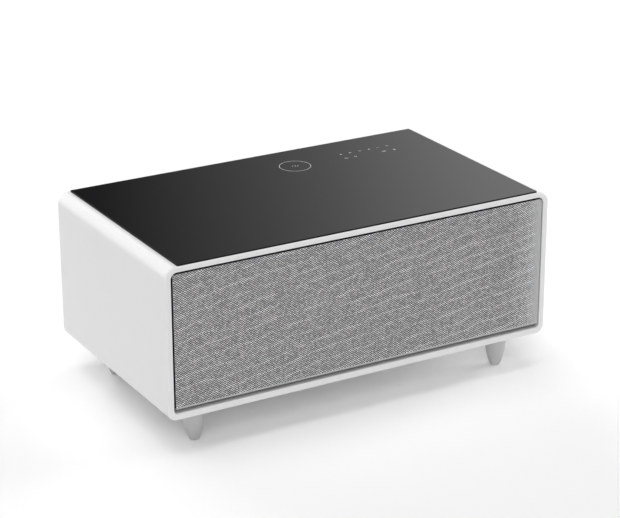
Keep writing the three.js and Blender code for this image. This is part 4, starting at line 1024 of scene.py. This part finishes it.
def makeChest():
    c = chest
    liner = openPan(inset(cavity, -c.linerWall), cavity, c.linerFront, c.linerFloor + c.linerWall, c.linerFloor,
                    c.linerEdge, stackY, 12, 6)
    holes = [rod(radius, 90, 130, (x, 0, z), stackY, 24) for x, z, radius in c.passages]
    fit("formedLiner", cutAway(liner, gathered(*holes)), "inner_liner")
    (near, far), edge = c.flange, c.flangeEdge
    sections = [(mouthFill, far), (mouthFill, near + edge), (inset(mouthFill, edge), near),
                (inset(cavity, -edge), near), (cavity, near + edge), (cavity, far)]
    plate = sweep(sections, stackY, 12, closed=True)
    fit("steelFlange", plate, "front_flange", crease=40)
    spots = [(x, z) for x in (-475, 475) for z in (150, 270, 390)] + [(x, 119) for x in (-300, 0, 300)]
    screws("flangeScrews", [(x, near - 0.3, z) for x, z in spots], "front", 3, 1)


makeChest()

# Cold side: slotted cover, finned evaporator and its fan. The fan's outlet is a round of five slots.
cowl = Settings(
    outer=rect(-290, 290, 150, 392, 16), wall=2, front=69.2, back=112.2, round=6, slot=6, pitch=14,
    fanHeight=332, fanReach=40, outletOffset=150, outletHalf=70, returnHeight=166, returnHalf=74, returnPitch=180)


def slotTool(x, z, half, height, start, end):
    return slab(about(x, z, half, height / 2, height / 2 - 0.3), start, end, 0, stackY, 5, 1)


def roundOfSlots(x, z, reach, rows, pitch, height, start, end):
    rises = [pitch * (i - (rows - 1) / 2) for i in range(rows)]
    return [slotTool(x, z + rise, sqrt(reach ** 2 - rise ** 2), height, start, end) for rise in rises]


def makeCowl():
    c = cowl
    depth = (c.front - 5, c.front + c.wall + 0.3)
    shell = openPan(c.outer, inset(c.outer, c.wall), c.back, c.front, c.front + c.wall, c.round, stackY, 12, 6)
    tools = roundOfSlots(0, c.fanHeight, c.fanReach, 5, c.pitch, c.slot, *depth)
    for x in (-c.outletOffset, c.outletOffset):
        first = slotTool(x, c.fanHeight - 1.5 * c.pitch, c.outletHalf, c.slot, *depth)
        tools.append(inRow(first, 4, 0, 0, c.pitch))
    first = slotTool(-c.returnPitch, c.returnHeight, c.returnHalf, c.slot, *depth)
    tools.append(inRow(first, 3, c.returnPitch, 0, 0))
    cutAway(shell, gathered(*tools))
    fit("slottedCover", softened(shell, 0.4), "evaporator_cover", crease=35)
    screws("coverScrews", [(x, c.front + 0.4, z) for x in (-272, 272) for z in (180, 360)], "front", 3.5, 1.6)


exchangers = {
    "evaporator": Settings(name="coldFins", half=210, fins=106, fin=0.3, tubes=6, bar=5, header=6,
                           y=(82.2, 112.2), z=(172, 256)),
    "condenser": Settings(name="hotFins", half=118, fins=84, fin=0.25, tubes=10, bar=3, header=7,
                          y=(165.8, 199.8), z=(126.6, 250.6)),
}


def makeExchanger(node, e):
    (near, far), (low, high), half, bar = e.y, e.z, e.half, e.bar
    fin = slab(rect(near + 1, far - 1, low, high, 1.5), -half, e.fin - half, 0, stackX, 2, 1)
    flat = rect(near + 3, far - 3, low + bar / 2, low + 1.5 * bar, bar / 2 - 0.1)
    tube = slab(flat, -half, half, 0, stackX, 5, 1)
    parts = [inRow(fin, e.fins, (2 * half - e.fin) / (e.fins - 1), 0, 0),
             inRow(tube, e.tubes, 0, 0, (high - low - 2 * bar) / (e.tubes - 1))]
    end = rect(near + 0.5, far - 0.5, low, high, 2)
    for side in (-1, 1):
        place = (side * (half + e.header / 2), (near + far) / 2, 0)
        parts.append(rod(e.header, low, high, place, stackZ, 32, 1.5))
        parts.append(slab(end, side * half - 0.6, side * half + 0.6, 0.3, stackX, 3, 1))
    fit(e.name, gathered(*parts), node, crease=35, plain=True)


fanShape = {
    "evaporator_fan": Settings(half=46, depth=22, wall=2.5, hub=15, blades=5, y=71.5, z=332),
    "condenser_fan": Settings(half=60, depth=25, wall=3, hub=20, blades=7, y=200.1, z=186.6),
}
# The blade's twist and chord at the hub, half way and at the tip
bladeShape = Settings(degrees=(48, 34, 26), chords=(17.5, 22.5, 25), thick=1.8, rake=0.75, tip=1.5, sections=9, foil=12)


def between(three, t):
    i = 0 if t < 0.5 else 1
    return three[i] + (three[i + 1] - three[i]) * (2 * t - i)


def foilPoints(steps):
    foil = []
    for way in (1, -1):
        for i in range(steps + 1):
            along = way * (1 - 2 * i / steps)
            thick = 0.85 * sqrt(max(0.0, 1 - along ** 4))
            foil.append((round(along, 5), round(way * thick - 0.5 * (1 - along * along), 5)))
    return list(dict.fromkeys(foil))


def makeBlade(s, rear):
    b = bladeShape
    root = s.hub * 0.8
    reach = s.half - s.wall - b.tip - root
    rings = []
    for k in range(b.sections):
        t = k / (b.sections - 1)
        radius, pitch, chord = root + reach * t, radians(between(b.degrees, t)), between(b.chords, t) / 2
        blade = []
        for along, across in foilPoints(b.foil):
            along, across = along * chord, across * b.thick / 2
            u = along * cos(pitch) - across * sin(pitch)
            v = rear / 2 + along * sin(pitch) * b.rake + across * cos(pitch)
            blade.append((radius * cos(u / radius), v, radius * sin(u / radius)))
        rings.append(blade)
    return loft(rings)


def makeFan(node, s):
    half, wall, hub, near, far, z = s.half, s.wall, s.hub, s.y, s.y + s.depth, s.z
    axisFrom = (0.0, near * mm, z * mm)
    strutFront = s.depth - 3
    rear = strutFront - 0.5
    blades = grown(ring, makeBlade(s, rear), count=s.blades, axisFrom=axisFrom)
    nose = bezier([(0, wall), (hub * 0.6, wall), (hub, wall), (hub, wall + 4)], 10)
    cap = lathe([*nose, (hub, rear), (0, rear)], 48, (0, near, z), stackY)
    fit(node + "_wheel", gathered(blades, cap), node + "_rotor", crease=40, plain=True)
    block = slab(about(0, z, half, half, 5), near, far, 0.6, stackY, 5, 2)
    corner = half - 6
    bolts = [rod(2.2, near - 5, far + 5, (x, 0, up), stackY, 16) for x, up in fourCorners(0, z, corner, corner)]
    cutAway(block, rod(half - wall, near - 5, far + 5, (0, 0, z), stackY, 96), gathered(*bolts))
    arm = slab(rect(0, half - wall / 2, -2, 2, 0.5), strutFront, s.depth, 0.5, stackY, 2, 2)
    arm.data.transform(Matrix.Rotation(radians(30), 4, "Y"))
    arms = grown(ring, arm, count=3, axisFrom=axisFrom)
    motor = rod(hub, near + strutFront, far, (0, 0, z), stackY, 48, 0.6)
    housing = gathered(softened(block, 0.4), arms, motor)
    fit(node + "_housing", housing, node + "_frame", crease=35, plain=True)


makeCowl()
for node, exchanger in exchangers.items():
    makeExchanger(node, exchanger)
for node, shape in fanShape.items():
    makeFan(node, shape)
print("cold side done")

# Machine compartment: compressor on rubber mounts, trays, drier, control box
pot = Settings(
    place=(-333.5, 214.15), halfX=76, halfY=52, low=121.1, height=148, seam=0.55, seamTop=0.597, seamOut=3,
    seamEdge=0.8, feet=(96, 50), feetAt=(118.9, 121.4), terminal=(22, 165.5, 209.5),
    stubs=[(22, 180.3), (-22, 227.66)], mounts=(82, 36), mountLow=106.6,
    mount=[(0, 0), (8.6, 0), (9, 0.5), (9, 3.6), (8.4, 4.4), (7, 5.4), (7, 6.6), (8.4, 7.6), (9, 8.4), (9, 11.5),
           (8.6, 12), (0, 12)],
    tray=(112, 56, 6), trayAt=(104.3, 106.3))


def makeCompressor():
    p = pot
    (x, y), wide, low = p.place, p.halfX, p.low

    def oval(u, v, w):
        return (u, v * p.halfY / wide, w)

    def high(share):
        return low + p.height * share

    base = bezier([(wide * 0.6, low), (wide * 0.9, low), (wide, high(0.06)), (wide, high(0.22))], 12)
    dome = [(wide * cos(a) ** 0.5, high(p.seamTop + (1 - p.seamTop) * sin(a))) for a in arc(18)[1:-1]]
    out, lift, seamLow, seamHigh = wide + p.seamOut, p.seamEdge, high(p.seam), high(p.seamTop)
    seam = [(wide, seamLow), (out - lift, seamLow), (out, seamLow + lift),
            (out, seamHigh - lift), (out - lift, seamHigh), (wide, seamHigh)]
    shell = lathe([(0, low), *base, *seam, *dome, (0, high(1))], 96, (x, y, 0), oval)
    feet = slab(about(x, y, *p.feet, 14), *p.feetAt, 0.6, stackZ, 8, 2)
    half, boxLow, boxHigh = p.terminal
    terminal = rect(y - half, y + half, boxLow, boxHigh, 5)
    boxEnd = x - wide - half / 2
    box = slab(terminal, x - 40, boxEnd, 2.5, stackX, 6, 3)
    lid = slab(rect(y - half + 4, y + half - 4, boxLow + 4, boxHigh - 4, 3), x - 50, boxEnd, 0.4, stackX, 5, 2)
    stubs = [rod(4, 38, wide + 16, (x, y + aside, z), stackX, 24, 0.4) for aside, z in p.stubs]
    fit("compressorPot", gathered(shell, feet, box, lid, *stubs), "compressor", crease=35, plain=True)
    corners = fourCorners(x, y, *p.mounts)
    for i, corner in enumerate(corners, 1):
        mount = lathe(p.mount, 40, (*corner, p.mountLow))
        fit("bufferMount_%d" % i, mount, "rubber_mount_%d" % i, crease=30)
    screws("mountBolts", [(*corner, p.feetAt[1] + 1.2) for corner in corners], "up", 5, 2.4)
    tray = slab(about(x, y, *p.tray), *p.trayAt, 0.5, stackZ, 6, 2)
    fit("steelTray", tray, "compressor_tray")


machines = Settings(
    pool=rect(-120, 120, 152.1, 228.1, 10), poolAt=(104.3, 126.3), poolWall=1.8,
    drier=(155.5, 182.8, 0), drierAt=(168.6, 238.6), neck=[(4, 170), (4.5, 173), (9, 172), (9, 178)],
    box=(262, 214.15), boxHalf=(62, 40, 6), boxAt=(104.3, 184.3), lidLine=(171, 171.8),
    ribs=4, ribPitch=25, boxScrews=(54, 32))


def makeMachines():
    m = machines
    low, high = m.poolAt
    pan = openPan(m.pool, inset(m.pool, m.poolWall), high, low, low + m.poolWall, m.poolWall, stackZ, 8, 3, 0.5)
    fit("meltTray", pan, "evaporation_tray")
    low, high = m.drierAt
    neck = bezier(m.neck, 8)
    upper = [(radius, low + high - z) for radius, z in reversed(neck)]
    drier = lathe([(0, low), (4, low), *neck, (9, 229), *upper, (4, high), (0, high)], 48, m.drier)
    fit("strainer", drier, "filter_drier", crease=40)
    (x, y), (low, high), (lineLow, lineHigh) = m.box, m.boxAt, m.lidLine
    plan = about(x, y, *m.boxHalf)
    line = [(inset(plan, by), z) for by, z in ((-4, lineLow), (-4, lineHigh), (0.6, lineHigh), (0.6, lineLow))]
    box = cutAway(slab(plan, low, high, 3, stackZ, 8, 4), sweep(line, stackZ, 8, closed=True))
    first = about(x - m.ribPitch * (m.ribs - 1) / 2, y, 1.5, 28, 1.2)
    ribs = inRow(slab(first, high - 3, high + 3, 0.6, stackZ, 4, 2), m.ribs, m.ribPitch, 0, 0)
    fit("controlHousing", gathered(softened(box, 0.2, 1), ribs), "control_box", crease=35, plain=True)
    spots = [(*corner, high + 0.5) for corner in fourCorners(x, y, *m.boxScrews)]
    screws("boxScrews", spots, "up", 2.6, 1.2)


# CAD node, radius, bend radius and corners
pipes = {
    "dischargePipe": ("discharge_line", 3, 14, [
        (-241.2, 236.15, 180.3), (-213.2, 236.15, 180.3), (-213.2, 236.15, 268.6), (-121.5, 182.8, 268.6),
        (-121.5, 182.8, 250.9)]),
    "liquidPipe": ("liquid_line", 3, 14, [
        (121.5, 182.8, 250.9), (121.5, 182.8, 268.6), (155.5, 182.8, 268.6), (155.5, 182.8, 238.9)]),
    "capillary": ("capillary_tube", 1.2, 5, [
        (155.5, 182.8, 168.3), (155.5, 182.8, 154.6), (155.5, 161.8, 154.6), (264, 161.8, 154.6), (264, 161.8, 196),
        (264, 97.2, 196), (264, 97.2, 274), (213, 97.2, 274), (213, 97.2, 256.3)]),
    "suctionPipe": ("suction_line", 3, 14, [
        (219.3, 97.2, 196), (240, 97.2, 196), (240, 192.15, 196), (240, 192.15, 304.6), (-213.2, 192.15, 304.6),
        (-213.2, 192.15, 227.66), (-241.2, 192.15, 227.66)]),
    "drainHose": ("drain_tube", 3.5, 6, [(60, 112.5, 156.5), (60, 158.8, 156.5), (60, 158.8, 111.1)]),
}

makeCompressor()
makeMachines()
for name, (node, radius, bend, corners) in pipes.items():
    path = newPiece(corners, edges=[(i, i + 1) for i in range(len(corners) - 1)])
    fit(name, grown(pipe, path, radius=radius * mm, bend=bend * mm), node, crease=50, plain=True)
print("machinery done")

# Rear cover with vent slots and grilles, the speakers behind it and the power inlet
coverBoard = Settings(
    at=(276.5, 278.5), slot=6, pitch=13, ventRows=8, vents=[(0, 188.6, 96), (-333.5, 195.1, 84)],
    grilleRows=5, grilleSlot=4, grillePitch=10, grilleReach=29,
    speakers={"left": (-408, 345.5), "right": (408, 345.5)}, inlet=(420, 162),
    screws=[(x, z) for z in (113, 424.5) for x in (-460, -230, 0, 230, 460)] + [(x, 269) for x in (-476, 476)])


def makeCover():
    c = coverBoard
    near, far = c.at
    depth = (near - 4, far + 4)
    board = slab(mouthFill, near, far, 0.5, stackY, 10, 2)
    tools = []
    for x, z, half in c.vents:
        first = slotTool(x, z - c.pitch * (c.ventRows - 1) / 2, half, c.slot, *depth)
        tools.append(inRow(first, c.ventRows, 0, 0, c.pitch))
    for x, z in c.speakers.values():
        tools += roundOfSlots(x, z, c.grilleReach, c.grilleRows, c.grillePitch, c.grilleSlot, *depth)
    tools.append(slab(about(*c.inlet, 17.5, 12.5, 2), *depth, 0, stackY, 4, 1))
    cutAway(board, gathered(*tools))
    fit("ventedCover", softened(board, 0.35), "rear_cover", crease=35)
    screws("coverScrewsBack", [(x, far + 0.5, z) for x, z in c.screws], "back", 3.6, 1.5)


# Radii and depths behind the front. The dust cap and the surround are arcs about a middle.
speakerShape = Settings(
    front=276.2, dust=(-13, 11, 4), cone=[(11, -13), (18, -11.5), (27, -6.5), (33.4, -2.6)],
    surround=(37, -2.4, 3.4, 1.9), rim=[(41, -2.2), (41, -0.4), (41.5, 0), (44.5, 0), (45, -0.4), (45, -2.8)],
    basket=[(44.6, -3.2), (40, -12), (30, -18), (26, -22)], magnet=[(26, -39), (25, -40), (0, -40)])


def makeSpeaker(name, x, z):
    s = speakerShape
    depth, wide, high = s.dust
    dust = [(wide * sin(a), high * cos(a) + depth) for a in arc(6)]
    middle, depth, wide, high = s.surround
    surround = [(middle - wide * cos(a), high * sin(a) + depth) for a in arc(8, pi)]
    profile = [*dust, *bezier(s.cone, 8)[1:], *surround, *s.rim, *bezier(s.basket, 6), *s.magnet]
    speaker = lathe(profile, 72, (x, s.front, z), stackY)
    fit("roundSpeaker_" + name, speaker, "speaker_" + name, crease=40)


inletShape = Settings(
    flange=(24, 15, 4), flangeAt=(278.8, 280.8), body=(17, 12, 2), bodyAt=(256.8, 280.5), socket=(13, 9, 2),
    socketAt=(261.8, 290), blade=(1, 2.2, 0.4), bladeAt=(259.8, 273.8), blades=((-7, -2), (0, 2), (7, -2)),
    screwsAt=280.6, screwsHalf=20.4)


def makeInlet():
    (x, z), s = coverBoard.inlet, inletShape
    flange = slab(about(x, z, *s.flange), *s.flangeAt, 0.5, stackY, 6, 2)
    body = slab(about(x, z, *s.body), *s.bodyAt, 0.5, stackY, 4, 2)
    socket = slab(about(x, z, *s.socket), *s.socketAt, 0, stackY, 4, 1)
    housing = softened(cutAway(united(flange, body), socket), 0.3)
    fit("inletHousing", housing, "power_inlet", crease=35)
    blades = [slab(about(x + aside, z + rise, *s.blade), *s.bladeAt, 0.5, stackY, 2, 2) for aside, rise in s.blades]
    fit("inletBlades", gathered(*blades), slotName="slide_steel", crease=35, plain=True)
    screws("inletScrews", [(x + aside, s.screwsAt, z) for aside in (-s.screwsHalf, s.screwsHalf)], "back", 2, 0.8)


makeCover()
for name, (x, z) in coverBoard.speakers.items():
    makeSpeaker(name, x, z)
makeInlet()

# Charging coil and touch board under the glass
coilShape = Settings(place=(72, 166), plateHalf=43, plateAt=(436.3, 437.6), levels=(438.4, 439.95, 441.5, 442.95),
                     wound={"turns": 11.0, "inner": 20.5 * mm, "outer": 37.2 * mm, "wire": 0.75 * mm})
boardShape = Settings(
    place=(280, 171), half=(88, 32, 3), at=(436.3, 437.9), pads=6, padPitch=27,
    pad=[(0, 437.6), (8, 437.6), (6.6, 439), (8, 440.4), (6.6, 441.8), (8, 443), (8, 443.7), (0, 443.7)],
    chipY=157, chipAt=(437.5, 439.6), chips=((230, 9), (268, 5), (300, 12), (340, 6)))


def makeElectronics():
    c, b = coilShape, boardShape
    x, y = c.place
    plate = slab(about(x, y, c.plateHalf, c.plateHalf, 4), *c.plateAt, 0.3, stackZ, 4, 1)
    fit("ferritePlate", plate, slotName="black_plastic")
    coils = [grown(winding, place=(x * mm, y * mm, level * mm), **c.wound) for level in c.levels]
    fit("woundCoil", gathered(*coils), "charging_coil", crease=60, plain=True)
    x, y = b.place
    board = slab(about(x, y, *b.half), *b.at, 0.2, stackZ, 4, 1)
    first = lathe(b.pad, 32, (x - b.padPitch * (b.pads - 1) / 2, y + b.padPitch / 2, 0))
    chips = [slab(about(chipX, b.chipY, half, 5, 0.3), *b.chipAt, 0.2, stackZ, 2, 1) for chipX, half in b.chips]
    pads = inRow(first, b.pads, b.padPitch, 0, 0)
    fit("signBoard", gathered(board, pads, *chips), "touch_board", crease=35, plain=True)


makeElectronics()
print("back and electronics done")
